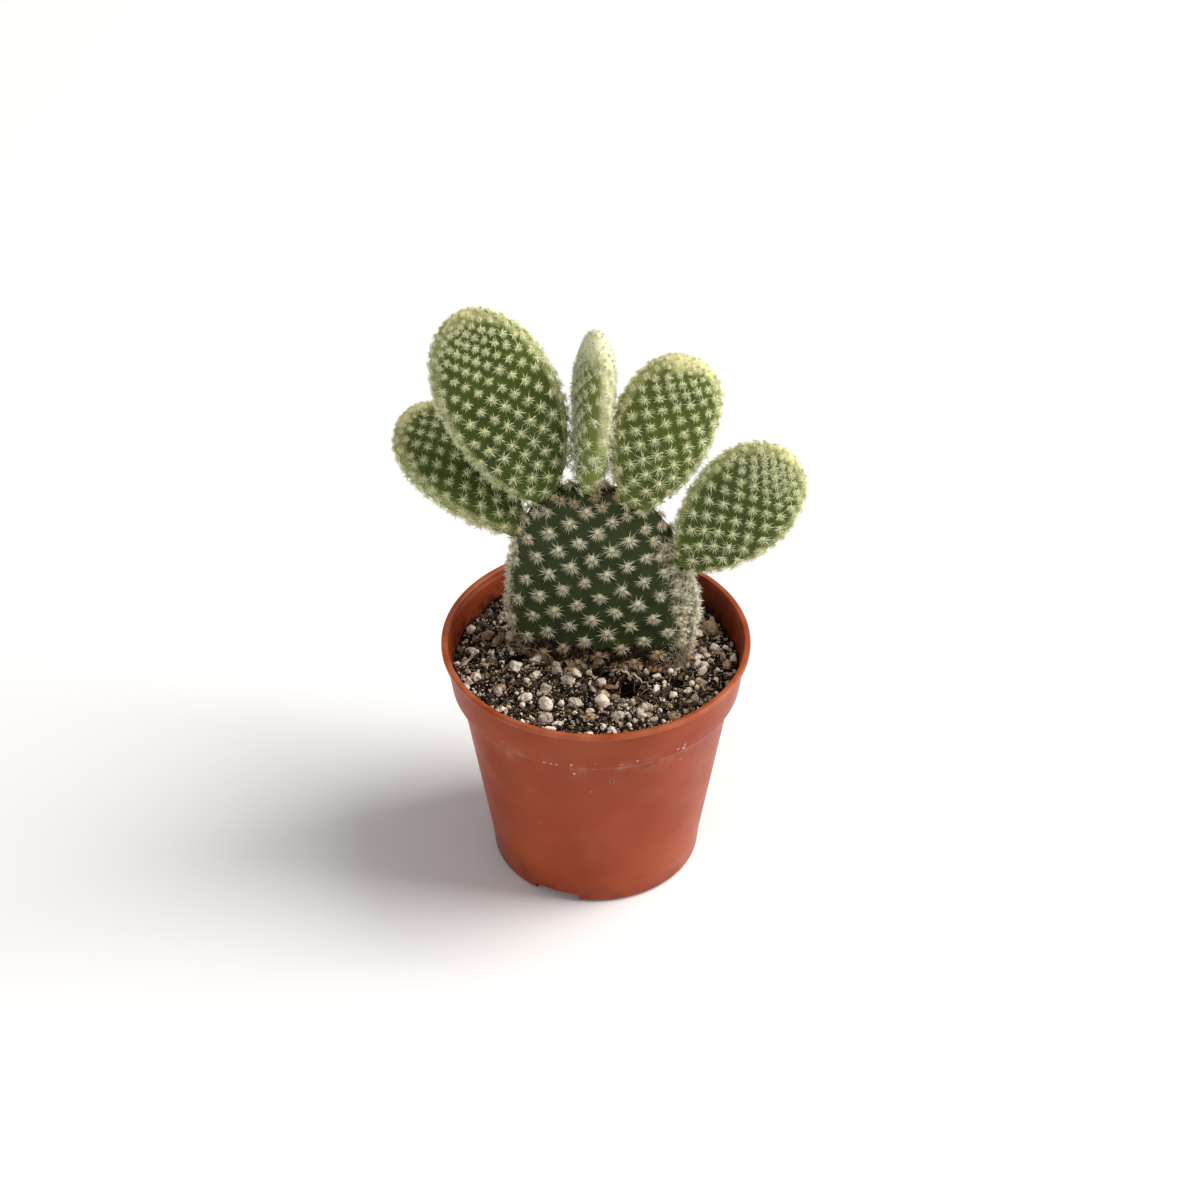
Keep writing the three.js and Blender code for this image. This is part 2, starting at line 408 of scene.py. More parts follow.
@dataclass(frozen=True)
class Tint(Coat):
    """A colour that follows a value kept at the mesh's own points, from low to high."""

    colour: str
    value: str
    most: float = 1.0
    low: float = 0.0
    high: float = 1.0

    def spread(self, tree: Tree, place: Socket) -> Socket:
        """Where the value is high."""
        kept = add_node(tree, "Attribute", output="Fac", attribute_name=self.value)
        limits = {"From Min": self.low, "From Max": self.high, "To Max": self.most}
        return add_node(tree, "MapRange", {"Value": kept, **limits})


@dataclass(frozen=True)
class MouldedPolypropylene(Finish):
    """Terracotta-coloured polypropylene, injection moulded in a lightly blasted mould.

    It gives a satin brick red with a broad soft highlight and a faint orange peel. Use has left a few
    brown pits with pale rims, chalky specks under the ridge, scuffs on the lip, a muddy foot and a
    dirty line inside, above the mix. The lip's scuffs are partly a painted highlight, and the whole
    inside is painted darker, partly as dirt and partly as painted shade. The chalk is drawn a little
    coarser than it is, so that it shows.
    """

    name: str = "injection_moulded_terracotta_polypropylene"
    deep: str = "#8c320d"
    body: Stain = Stain("#9c3d12", 22.0, 0.3, 0.7, detail=3.0)
    # A darker film over the whole inside: partly dirt, partly painted shade.
    inner_dirt_and_painted_shade: Stain = Stain("#54281a", 9.0, 0.15, 0.75, 0.5, 6.0)
    film: Stain = Stain("#d49468", 16.0, 0.45, 0.85, 0.1, 6.0)
    tide: Stain = Stain("#2e1710", 2.6, 0.38, 0.62, detail=6.0)
    mud: Stain = Stain("#4c2418", 6.0, 0.46, 0.66, 0.8, 4.0)
    # Pale scuffs over the lip: partly wear, partly a painted highlight on its upward faces.
    lip_wear_and_painted_highlight: Stain = Stain("#c67a54", 7.0, 0.3, 0.65, 0.45, 3.0)
    bloom: Stain = Stain("#dcb8a2", 7.0, 0.5, 0.8, 0.3, 6.0)
    pit_rim: Speckle = Speckle("#e0a888", 7.5, 0.78, 0.6, 0.3, 0.3)
    pit: Speckle = Speckle("#5c1c0a", 7.5, 0.58, 0.6, 1.0, 0.3)
    chalk: Speckle = Speckle("#fbf0e4", 1.9, 0.52, 0.6)
    chalk_patches: Stain = Stain("#fbf0e4", 12.0, 0.46, 0.58, detail=2.0)
    roughness: Pair = (0.33, 0.44)
    ior: float = 1.49
    gloss: float = 0.22
    peel_mm: float = 0.6
    peel_depth_mm: float = 0.012
    peel_strength: float = 0.5
    wear_mm: float = 9.0
    wear_limits: Pair = (0.3, 0.7)
    chalk_band_mm: Triple = (51.0, 57.5, 62.0)
    tide_mm: Pair = (64.0, 69.0)
    foot_mm: Pair = (0.0, 8.5)
    lip_mm: Pair = (70.2, 70.7)

    def dress(self, tree: Tree, place: Socket) -> None:
        """The plastic's own red, then its stains and specks by zone, and its peel. The inside's film is
        partly painted shade and the lip's scuffs are partly a painted highlight.
        """
        height = add_node(tree, "SeparateXYZ", {"Vector": place}, "Z")
        inner = add_node(tree, "Attribute", output="Fac", attribute_name="inner")
        chalk_low, chalk_middle, chalk_high = self.chalk_band_mm
        bands = {}
        for zone, bare, full in (
            ("tide", self.tide_mm[1], self.tide_mm[0]),
            ("foot", self.foot_mm[1], self.foot_mm[0]),
            ("lip", *self.lip_mm),
            ("under_ridge", chalk_low, chalk_middle),
            ("over_ridge", chalk_high, chalk_middle),
        ):
            ends = {"From Min": bare * MM, "From Max": full * MM}
            bands[zone] = add_node(tree, "MapRange", {"Value": height, **ends})
        colour = self.body.lay(tree, place, srgb(self.deep))
        colour = self.film.lay(tree, place, colour)
        # Partly dirt, partly painted shade over the whole inside.
        colour = self.inner_dirt_and_painted_shade.lay(tree, place, colour, inner)
        colour = self.tide.lay(tree, place, colour, inner, bands["tide"])
        colour = self.mud.lay(tree, place, colour, bands["foot"])
        colour = self.pit_rim.lay(tree, place, colour)
        colour = self.pit.lay(tree, place, colour)
        colour = self.bloom.lay(tree, place, colour, bands["under_ridge"], bands["over_ridge"])
        patches = self.chalk_patches.spread(tree, place)
        ridge = bands["under_ridge"], bands["over_ridge"]
        colour = self.chalk.lay(tree, place, colour, patches, *ridge)
        # Partly wear, partly a painted highlight on the lip.
        colour = self.lip_wear_and_painted_highlight.lay(tree, place, colour, bands["lip"])

        wear = {"Vector": place, "Scale": per_size(self.wear_mm), "Detail": 5.0}
        names = "From Min", "From Max", "To Min", "To Max"
        limits = dict(zip(names, (*self.wear_limits, *self.roughness)))
        rough = add_node(tree, "MapRange", {"Value": add_node(tree, "TexNoise", wear), **limits})
        peel = add_node(tree, "TexNoise", {"Vector": place, "Scale": per_size(self.peel_mm)})
        sockets = {"Base Color": colour, "Roughness": rough}
        sockets |= {"IOR": self.ior, "Specular IOR Level": self.gloss}
        self.close(tree, sockets, peel, self.peel_depth_mm, self.peel_strength)


@dataclass(frozen=True)
class SiftedPeat(Finish):
    """Sifted black peat, crumbled and slightly moist.

    It gives a dark brown ground with warm crumbs, pale flecks of crushed grit and no shine. Down in the
    hollows it is painted near black, as painted shade.
    """

    name: str = "sifted_black_peat"
    black: str = "#0b0806"
    brown: Stain = Stain("#35281e", 0.9, 0.47, 0.66, 0.9, 6.0)
    warm: Stain = Stain("#5a4a3c", 2.4, 0.54, 0.7, 0.6, 6.0)
    fleck: Speckle = Speckle("#b8a78e", 0.8, 0.22, 0.3, 0.9)
    # Near black by the depth in the hollows: painted shade.
    hollow_painted_shade: Tint = Tint("#060403", "depth")
    crumb_mm: float = 0.8
    crumb_depth_mm: float = 0.5
    roughness: float = 0.97
    gloss: float = 0.08

    def dress(self, tree: Tree, place: Socket) -> None:
        """Black peat under brown and warm crumbs and pale flecks, with painted shade in the hollows."""
        colour = self.brown.lay(tree, place, srgb(self.black))
        colour = self.warm.lay(tree, place, colour)
        colour = self.fleck.lay(tree, place, colour)
        colour = self.hollow_painted_shade.lay(tree, place, colour)
        crumbs = {"Vector": place, "Scale": per_size(self.crumb_mm), "Detail": 6.0}
        sockets = {"Base Color": colour, "Roughness": self.roughness, "Specular IOR Level": self.gloss}
        self.close(tree, sockets, add_node(tree, "TexNoise", crumbs), self.crumb_depth_mm)


class Mineral(Enum):
    """The kinds of loose pieces in the mix.

    Each has its label, its slot, its light and dark colour, its stain, its flecks, the depth of its
    pores and its roughness. Perlite is expanded volcanic glass: chalky, off-white, tumbled round.
    Pumice is foamed lava: grey and full of pores. Bark is chipped pine bark: tan and layered. A crumb
    is pressed peat. A prill is a coated feed bead: smooth and nearly white.
    """

    PERLITE = ("expanded_perlite", "perlite", "#fff3e4", "#dcc8b0", "#4f3d2f", "#8a7561", 0.7, 0.92)
    PUMICE = ("crushed_pumice", "pumice", "#d8c8b6", "#574a3f", "#120d09", "#f2e8dc", 0.85, 0.94)
    BARK = ("chipped_pine_bark", "bark", "#d2b492", "#5f4833", "#1a110a", "#2a1c12", 0.75, 0.9)
    CRUMB = ("pressed_peat_crumb", "potting_mix", "#67564a", "#16100c", "#070403", "#d8cab9", 0.6, 0.97)
    PRILL = ("coated_feed_prill", "perlite", "#f7f2e8", "#ddd2bf", "#6e5943", "#ddd2bf", 0.15, 0.6)

    def __init__(
        self, label: str, slot: str, light: str, dark: str, stain: str, fleck: str, pores: float,
        roughness: float,
    ) -> None:
        """Keeps what the kind is made of, each value under its own name."""
        self.label, self.slot = label, slot
        self.light, self.dark, self.stain, self.fleck = light, dark, stain, fleck
        self.pores, self.roughness = pores, roughness


@dataclass(frozen=True)
class TumbledGrit(Finish):
    """Loose mineral or bark grains, broken and tumbled, dusted with peat.

    It gives each grain its own shade, a stained underside in its pores and a dry, matt face. The
    pores are drawn about twice as coarse as they are, so that they show.
    """

    mineral: Mineral = Mineral.PERLITE
    pore_mm: float = 0.55
    grain_mm: float = 0.25
    grain_depth_mm: float = 0.16
    grain_strength: float = 0.8
    fleck_mm: float = 0.7
    gloss: float = 0.15

    @property
    def name(self) -> str:
        """The material's name."""
        return "tumbled_" + self.mineral.label

    def dress(self, tree: Tree, place: Socket) -> None:
        """The grain's own tone, then its pores and flecks."""
        kind = self.mineral
        colour = Tint(kind.light, "tone").lay(tree, place, srgb(kind.dark))
        colour = Stain(kind.dark, self.pore_mm * 2, 0.44, 0.68, 0.8).lay(tree, place, colour)
        colour = Stain(kind.light, self.fleck_mm, 0.56, 0.7, 0.75).lay(tree, place, colour)
        pores = Speckle(kind.stain, self.pore_mm, self.pore_mm * 0.34, 1.0, kind.pores, 0.6)
        colour = pores.lay(tree, place, colour)
        flecks = Speckle(kind.fleck, self.fleck_mm * 0.8, self.fleck_mm * 0.24, 0.45, 0.9)
        colour = flecks.lay(tree, place, colour)
        fine = {"Vector": place, "Scale": per_size(self.grain_mm), "Detail": 4.0}
        sockets = {"Base Color": colour, "Roughness": kind.roughness, "Specular IOR Level": self.gloss}
        relief = add_node(tree, "TexNoise", fine)
        self.close(tree, sockets, relief, self.grain_depth_mm, self.grain_strength)


@dataclass(frozen=True)
class WaxedCuticle(Finish):
    """A cactus pad's skin: a waxed cuticle with a velvet bloom over green flesh.

    It gives a soft matt green with a grey sheen at grazing angles, paler where it is young, felted
    under the thick down, and corky brown over near black where an old pad has dried at its foot. Some
    pads are painted paler as painted light as well as for youth, and the old pad's foot, down by the
    mix, is painted near black partly as painted shade.
    """

    name: str = "waxed_cuticle"
    deep: str = "#2e3a0f"
    fresh: Stain = Stain("#4a581c", 8.0, 0.3, 0.7, detail=4.0)
    mottle: Stain = Stain("#29370b", 0.6, 0.45, 0.8, 0.35, 3.0)
    raised: str = "#5c6b25"
    raised_share: float = 0.55
    tip: str = "#808d3e"
    felt: str = "#ece5a8"
    felt_cover: float = 0.9
    cork: Stain = Stain("#5c452b", 1.3, 0.46, 0.7)
    # Near black under the cork: dried rot, and at the old pad's foot by the mix also painted shade.
    rot_and_painted_shade: str = "#150d07"
    bloom: str = "#b9c08a"
    sheen: float = 0.06
    sheen_roughness: float = 0.45
    roughness: float = 0.58
    ior: float = 1.42
    gloss: float = 0.22
    scatter: float = 0.08
    scatter_mm: float = 2.0
    scatter_reach: Triple = (0.6, 1.0, 0.25)
    rag_mm: float = 3.0
    cork_limits: Pair = (0.85, 1.0)
    pit_mm: float = 0.35
    pit_depth_mm: float = 0.03
    pit_strength: float = 0.5

    def dress(self, tree: Tree, place: Socket) -> None:
        """Green flesh under its mounds, its youth (partly painted light), its felt and its cork over
        near black (partly painted shade at the foot).
        """
        colour = self.fresh.lay(tree, place, srgb(self.deep))
        colour = self.mottle.lay(tree, place, colour)
        rag = {"Vector": place, "Scale": per_size(self.rag_mm), "Detail": 6.0}
        dried = add_node(tree, "Attribute", output="Fac", attribute_name="cork")
        dried = add_node(tree, "Math", {0: add_node(tree, "TexNoise", rag), 1: dried}, operation="ADD")
        sound, corky = self.cork_limits
        dried = add_node(tree, "MapRange", {"Value": dried, "From Min": sound, "From Max": corky})
        # Brown cork over near black: the near black is dried rot, and at the old pad's foot also
        # painted shade.
        rind = self.cork.lay(tree, place, srgb(self.rot_and_painted_shade))
        for tint in (
            Tint(self.raised, "mound", self.raised_share),
            Tint(self.tip, "youth"),
            Tint(self.felt, "felted", self.felt_cover),
        ):
            colour = tint.lay(tree, place, colour)
        layers = {MIX_SHARE: dried, MIX_UNDER: colour, MIX_OVER: rind}
        colour = add_node(tree, "Mix", layers, MIX_RESULT, data_type="RGBA")
        pits = {"Vector": place, "Scale": per_size(self.pit_mm), "Detail": 3.0}
        sockets = {
            "Base Color": colour,
            "Roughness": self.roughness,
            "IOR": self.ior,
            "Specular IOR Level": self.gloss,
            "Sheen Weight": self.sheen,
            "Sheen Roughness": self.sheen_roughness,
            "Sheen Tint": srgb(self.bloom),
            "Subsurface Weight": self.scatter,
            "Subsurface Radius": self.scatter_reach,
            "Subsurface Scale": self.scatter_mm * MM,
        }
        relief = add_node(tree, "TexNoise", pits)
        self.close(tree, sockets, relief, self.pit_depth_mm, self.pit_strength)


@dataclass(frozen=True)
class BarbedBristle(Finish):
    """Glochids: tufts of hair-fine barbed bristles, dry and slightly glassy.

    It gives cream to straw-coloured wool that lets some light through, paler at its points, and tan
    to brown where a tuft is old.
    """

    name: str = "barbed_glochid_bristle"
    root: str = "#efef94"
    point: str = "#fcffc8"
    old: str = "#cf9a5f"
    dead: str = "#5d4229"
    roughness: float = 0.55
    ior: float = 1.5
    gloss: float = 0.3
    scatter: float = 0.5
    scatter_mm: float = 1.0
    scatter_reach: Triple = (1.0, 0.9, 0.7)

    def dress(self, tree: Tree, place: Socket) -> None:
        """Paler towards the point and browner with age."""
        colour = srgb(self.root)
        for tint in (
            Tint(self.point, "along", high=0.6),
            Tint(self.root, "tone", most=0.35),
            Tint(self.old, "age", most=0.75, high=0.6),
            Tint(self.dead, "age", low=0.6),
        ):
            colour = tint.lay(tree, place, colour)
        sockets = {
            "Base Color": colour,
            "Roughness": self.roughness,
            "IOR": self.ior,
            "Specular IOR Level": self.gloss,
            "Subsurface Weight": self.scatter,
            "Subsurface Radius": self.scatter_reach,
            "Subsurface Scale": self.scatter_mm * MM,
        }
        self.close(tree, sockets)


@dataclass(frozen=True)
class DriedFibre(Finish):
    """Peat fibres, rootlets and papery dead scales, air-dried.

    It gives straw to dark brown strands with a dull face, each in its own shade.
    """

    name: str = "air_dried_plant_fibre"
    pale: str = "#b79a72"
    dark: str = "#3a2517"
    streak_mm: float = 0.5
    streak_depth_mm: float = 0.05
    streak_strength: float = 0.6
    roughness: float = 0.85
    gloss: float = 0.15

    def dress(self, tree: Tree, place: Socket) -> None:
        """A shade of its own for each strand, with streaks."""
        colour = Tint(self.pale, "tone").lay(tree, place, srgb(self.dark))
        colour = Stain(self.dark, self.streak_mm, 0.4, 0.8, 0.5, 4.0).lay(tree, place, colour)
        streaks = {"Vector": place, "Scale": per_size(self.streak_mm), "Detail": 4.0}
        sockets = {"Base Color": colour, "Roughness": self.roughness, "Specular IOR Level": self.gloss}
        relief = add_node(tree, "TexNoise", streaks)
        self.close(tree, sockets, relief, self.streak_depth_mm, self.streak_strength)


# The pot


@dataclass
class NurseryPot:
    """A round, thin-walled nursery pot with a lip, a collar, a foot ring, notches and drain holes."""

    finish: Finish = field(default_factory=MouldedPolypropylene)
    height: float = 72.0
    rim_radius: float = 42.5
    lip_width: float = 1.75
    lip_height: float = 1.5
    wall: float = 1.1
    collar_top_radius: float = 41.4
    collar_foot_radius: float = 39.9
    collar_foot_height: float = 58.8
    body_top_radius: float = 37.6
    body_top_height: float = 56.9
    body_foot_radius: float = 28.9
    foot_rounding: float = 3.1
    foot_radius: float = 25.9
    ring_width: float = 1.3
    floor_underside: float = 3.0
    floor_thickness: float = 1.2
    mould_line_height: float = 7.0
    mould_line_depth: float = 0.07
    notches: int = 3
    notch_width: float = 13.0
    notch_height: float = 2.8
    notch_rounding: float = 0.9
    first_notch_turn: float = -112.7
    hole_radius: float = 3.0
    hole_circle: float = 17.5
    hole_sides: int = 40
    cutter_under: float = 2.0
    cutter_beyond: float = 3.0
    inner_share: float = 0.6
    corner_reach: float = 0.45
    corner_steps: int = 6
    sharp_angle: float = 38.0
    segments: int = 192

    def wall_radius(self, height: float) -> float:
        """The body's outer radius at a height below the collar."""
        rise = (height - self.foot_rounding) / (self.body_top_height - self.foot_rounding)
        return self.body_foot_radius + rise * (self.body_top_radius - self.body_foot_radius)

    def collar_radius(self, height: float) -> float:
        """The collar's outer radius at a height above its foot."""
        top = self.height - self.lip_height
        rise = (height - self.collar_foot_height) / (top - self.collar_foot_height)
        return self.collar_foot_radius + rise * (self.collar_top_radius - self.collar_foot_radius)

    def corners(self) -> list[Triple]:
        """The wall's section, with the small steps and roundings that a mould gives it.

        Returns:
            For each corner its radius, its height and its rounding.
        """
        floor_top = self.floor_underside + self.floor_thickness
        lip_foot = self.height - self.lip_height
        line = self.mould_line_height
        step = self.mould_line_depth
        return [
            (self.foot_radius - self.ring_width + 0.3, self.floor_underside, 0.4),
            (self.foot_radius - self.ring_width, 0.0, 0.25),
            (self.foot_radius, 0.0, 0.0),
            (self.body_foot_radius - 0.05, 0.35, 2.6),
            (self.wall_radius(line - 0.3), line - 0.3, 0.0),
            (self.wall_radius(line) + step, line + 0.1, 0.1),
            (self.wall_radius(line + 0.8), line + 0.8, 0.0),
            (self.body_top_radius, self.body_top_height, 0.6),
            (self.collar_foot_radius - 0.55, self.collar_foot_height - 0.95, 0.5),
            (self.collar_foot_radius, self.collar_foot_height, 0.7),
            (self.collar_top_radius - 0.05, lip_foot - 0.9, 0.3),
            (self.collar_top_radius - 0.15, lip_foot - 0.1, 0.2),
            (self.rim_radius, lip_foot + 0.05, 0.35),
            (self.rim_radius, self.height, 0.55),
            (self.rim_radius - self.lip_width, self.height, 0.55),
            (self.rim_radius - self.lip_width, lip_foot, 0.3),
            (self.collar_top_radius - self.wall, lip_foot - 0.8, 0.4),
            (self.collar_foot_radius - self.wall, self.collar_foot_height, 0.6),
            (self.body_top_radius - self.wall, self.body_top_height + self.wall / 2, 0.5),
            (self.wall_radius(floor_top) - self.wall, floor_top, 1.2),
        ]

    def section(self) -> Array:
        """The wall's section with its corners rounded.

        Returns:
            Radius and height of each point, from under the floor to the top of the floor.
        """
        floor_top = self.floor_underside + self.floor_thickness
        corners = self.corners()
        path = [(0.0, self.floor_underside), *[c[:2] for c in corners], (0.0, floor_top)]
        points = []
        for index, (radius, height, rounding) in enumerate(corners, start=1):
            here = np.array([radius, height])
            before = np.array(path[index - 1]) - here
            after = np.array(path[index + 1]) - here
            if rounding <= 0:
                points.append(here)
                continue
            reach = min(rounding, *(self.corner_reach * np.linalg.norm(leg) for leg in (before, after)))
            start, end = here + reach * unit(before), here + reach * unit(after)
            for s in np.linspace(0, 1, self.corner_steps):
                points.append((1 - s) ** 2 * start + 2 * s * (1 - s) * here + s**2 * end)
        return np.array(points)

    def outer_radius(self, height: Array) -> Array:
        """The outer radius of the wall at each height."""
        above = height > self.body_top_height
        return np.where(above, self.collar_radius(height), self.wall_radius(height))

    def is_inner(self, points: Array) -> Array:
        """1 where a point of the pot lies on its inside and 0 elsewhere."""
        radius = np.hypot(points[:, 0], points[:, 1])
        over = points[:, 2] > self.floor_underside + self.floor_thickness / 2
        skin = self.outer_radius(points[:, 2]) - self.inner_share * self.wall
        return (over & (radius < skin)).astype(float)

    def notch_shape(self, turn: float) -> Array:
        """A notch's cutter: an arch with rounded shoulders, pushed out through the ring.

        Args:
            turn: where it is round the pot, in radians from +X.

        Returns:
            Its inner and then its outer outline, in millimetres.
        """
        half, round_by = self.notch_width / 2, self.notch_rounding
        side, top, under = half - round_by, self.notch_height - round_by, -self.cutter_under
        arc = [math.pi / 2 * s / 4 for s in range(5)]
        right = [(side + round_by * math.cos(a), top + round_by * math.sin(a)) for a in arc]
        outline = [(half, under), *right, *[(-x, z) for x, z in reversed(right)], (-half, under)]
        reaches = self.foot_radius - 3 * self.ring_width, self.body_foot_radius + self.cutter_beyond
        across = np.array([-math.sin(turn), math.cos(turn), 0.0])
        out = np.array([math.cos(turn), math.sin(turn), 0.0])
        return np.array([out * r + across * x + [0, 0, z] for r in reaches for x, z in outline])

    def cutters(self) -> list[bpy.types.Object]:
        """Makes the shapes that the three notches and the four holes are cut with.

        Returns:
            One object for each.
        """
        tools = []
        for index in range(self.notches):
            turn = math.radians(self.first_notch_turn + index * 360 / self.notches)
            tools.append(self.notch_shape(turn))
        ring = np.linspace(0, math.tau, self.hole_sides, endpoint=False)
        heights = self.floor_underside - self.cutter_under, self.floor_underside + self.cutter_beyond
        for index in range(self.notches + 1):
            turn = math.radians(self.first_notch_turn + (index + 0.5) * 360 / self.notches)
            away = 0.0 if index == self.notches else self.hole_circle
            middle = np.array([away * math.cos(turn), away * math.sin(turn), 0.0])
            tools.append(np.concatenate([around(self.hole_radius, ring, z) + middle for z in heights]))
        made = []
        for points in tools:
            count = len(points) // 2
            faces = [tuple(range(count)), tuple(range(2 * count - 1, count - 1, -1))]
            faces += [(i, i + count, (i + 1) % count + count, (i + 1) % count) for i in range(count)]
            mesh = bpy.data.meshes.new("drainage_cutter")
            mesh.from_pydata([tuple(p) for p in points * MM], [], faces)
            solid = bmesh.new()
            solid.from_mesh(mesh)
            bmesh.ops.recalc_face_normals(solid, faces=solid.faces)
            solid.to_mesh(mesh)
            solid.free()
            made.append(add_object("drainage_cutter", mesh))
        return made

    def build(self) -> None:
        """Turns the section round the axis, cuts the drainage out of it and dresses it."""
        section = self.section()
        turns = np.linspace(0, math.tau, self.segments, endpoint=False)
        floor_top = self.floor_underside + self.floor_thickness
        ends = np.array([[0.0, 0.0, self.floor_underside], [0.0, 0.0, floor_top]])
        points = np.concatenate([*(around(radius, turns, height) for radius, height in section), ends])
        faces = closed_faces(len(section), self.segments)
        pot = make_piece(
            "terracotta_nursery_pot", points, faces, self.finish.build(),
            replaces=("nursery_pot",))
        cutters = self.cutters()
        for cutter in cutters:
            cut = pot.modifiers.new("drainage", "BOOLEAN")
            cut.object, cut.operation, cut.solver = cutter, "DIFFERENCE", "EXACT"
        bake_modifiers(pot)
        for cutter in cutters:
            bpy.data.objects.remove(cutter)
        mesh = pot.data
        flat = np.empty(3 * len(mesh.vertices), np.float32)
        mesh.vertices.foreach_get("co", flat)
        write_values(mesh, "inner", self.is_inner(flat.reshape(-1, 3) / MM))
        mesh.set_sharp_from_angle(angle=math.radians(self.sharp_angle))


def bake_modifiers(piece: bpy.types.Object) -> None:
    """Replaces a piece's mesh by the one that its modifiers make.

    Args:
        piece: the piece, which keeps no modifier.
    """
    graph = bpy.context.evaluated_depsgraph_get()
    made = bpy.data.meshes.new_from_object(piece.evaluated_get(graph))
    old = piece.data
    piece.modifiers.clear()
    piece.data = made
    made.name = piece.name
    bpy.data.meshes.remove(old)


# The pads


@dataclass(frozen=True)
class PadGrowth:
    """How one pad grew: where it starts, how it leans and turns, and its outline."""

    name: str
    base: Triple
    lean_side: float
    lean_back: float
    turn: float
    length: float
    width: float
    thickness: float
    taper: float
    bend: float
    blunt: float = 0.5
    squareness: float = 2.4
    end_fullness: float = 0.3

    def axes(self) -> tuple[Array, Array, Array]:
        """The pad's own directions.

        Returns:
            Along the pad, across its flat side and out of that side.
        """
        side, back = math.radians(self.lean_side), math.radians(self.lean_back)
        upright = np.array([0.0, math.sin(back), math.cos(back)]) * math.cos(side)
        along = upright + [math.sin(side), 0.0, 0.0]
        level = unit(np.array([1.0, 0.0, 0.0]) - along[0] * along)
        spin = math.radians(-self.turn)
        across = level * math.cos(spin) + np.cross(along, level) * math.sin(spin)
        return along, across, np.cross(across, along)

    def half_width(self, rise: Array) -> Array:
        """The outline's half-width.

        Args:
            rise: from 0 at the base to 1 at the tip.

        Returns:
            Half the width at each rise.
        """
        widest = (self.blunt + self.taper) / (2 * self.blunt + self.taper)

        def shape(at: Array | float) -> Array | float:
            """The outline before it is scaled."""
            return (at * (1 - at)) ** self.blunt * at**self.taper

        return self.width / 2 * shape(np.clip(rise, 0.0, 1.0)) / shape(widest)

    def half_thickness(self, rise: Array) -> Array:
        """Half the pad's thickness at each rise."""
        height = 2 * rise - 1
        ring = np.sqrt(np.clip(1 - height**2, 0.0, 1.0))
        return self.thickness / 2 * ring * (1 + self.end_fullness * height**2)

    def surface(self, rise: Array, angle: Array) -> Array:
        """Points of the pad's skin.

        Args:
            rise: from 0 at the base to 1 at the tip.
            angle: round the section, from 0 at the right edge over the front.

        Returns:
            The points in millimetres.
        """
        along, across, facing = self.axes()
        power = 2 / self.squareness
        wide = self.half_width(rise) * np.sign(np.cos(angle)) * np.abs(np.cos(angle)) ** power
        deep = self.half_thickness(rise) * np.sign(np.sin(angle)) * np.abs(np.sin(angle)) ** power
        sideways = wide + self.bend * rise**2
        return (
            np.array(self.base)
            + (rise * self.length)[..., None] * along
            + sideways[..., None] * across
            + deep[..., None] * facing
        )

    def fullness_at(self, points: Array, grow: float = 0.0) -> Array:
        """How far out of the pad's middle points lie.

        Args:
            points: the points in millimetres.
            grow: how much bigger the pad is taken to be all round.

        Returns:
            Under 1 inside the grown skin, and over 1 outside it.
        """
        along, across, facing = self.axes()
        away = points - np.array(self.base)
        rise = (away @ along + grow) / (self.length + 2 * grow)
        inside = (rise > 0) & (rise < 1)
        safe = np.clip(rise, 0.01, 0.99)
        wide = np.abs(away @ across - self.bend * safe**2) / (self.half_width(safe) + grow)
        deep = np.abs(away @ facing) / (self.half_thickness(safe) + grow)
        found = (wide**self.squareness + deep**self.squareness) ** (1 / self.squareness)
        return np.where(inside, found, 9.0)


@dataclass(frozen=True)
class TuftStyle:
    """How the bristles of one kind of areole stand: a close core and longer rays round it.

    Real bristles are a few hundredths of a millimetre thick and stand in hundreds. These are fewer,
    and as coarse as they need to be to show.
    """

    core_count: int
    core_length: float
    core_radius: float
    ray_count: int
    ray_length: float
    bristle_width: float
    ray_width: float
    droop: float
    arch: float
    core_age: float = 0.0
    core_lean: float = 68.0
    ray_lean: float = 88.0
    ray_lift: float = 58.0


@dataclass(frozen=True)
class Down:
    """The fine down between the tufts: thin along the edge, almost solid in a cap round the tip.

    It is drawn coarser and sparser than it is, over felted pale skin, so that it shows.
    """

    cap_start: float = 0.92
    cap_blend: float = 0.03
    edge_density: float = 0.3
    edge_turn: float = 0.0
    edge_from: Pair = (0.5, 0.85)
    edge_rise: Pair = (0.02, 0.22)
    per_area: float = 15.0
    length: float = 1.35
    width: float = 0.12
    spread: float = 0.5


@dataclass
class Areoles:
    """The areoles of a pad: where each is, the skin's directions there, and its size and age."""

    points: Array
    normals: Array
    down: Array
    size: Array
    age: Array

    def keep(self, chosen: Array) -> Areoles:
        """The chosen areoles only."""
        return Areoles(*(values[chosen] for values in vars(self).values()))


@dataclass(frozen=True)
class AreoleOrder:
    """The order in which a pad laid its areoles, fitted to the pattern that they show.

    It holds the skin's area for each, how much closer they stand at the tip, and the number and the
    turn of the first.
    """

    area: float
    tip_crowding: float
    first_number: float
    first_turn: float


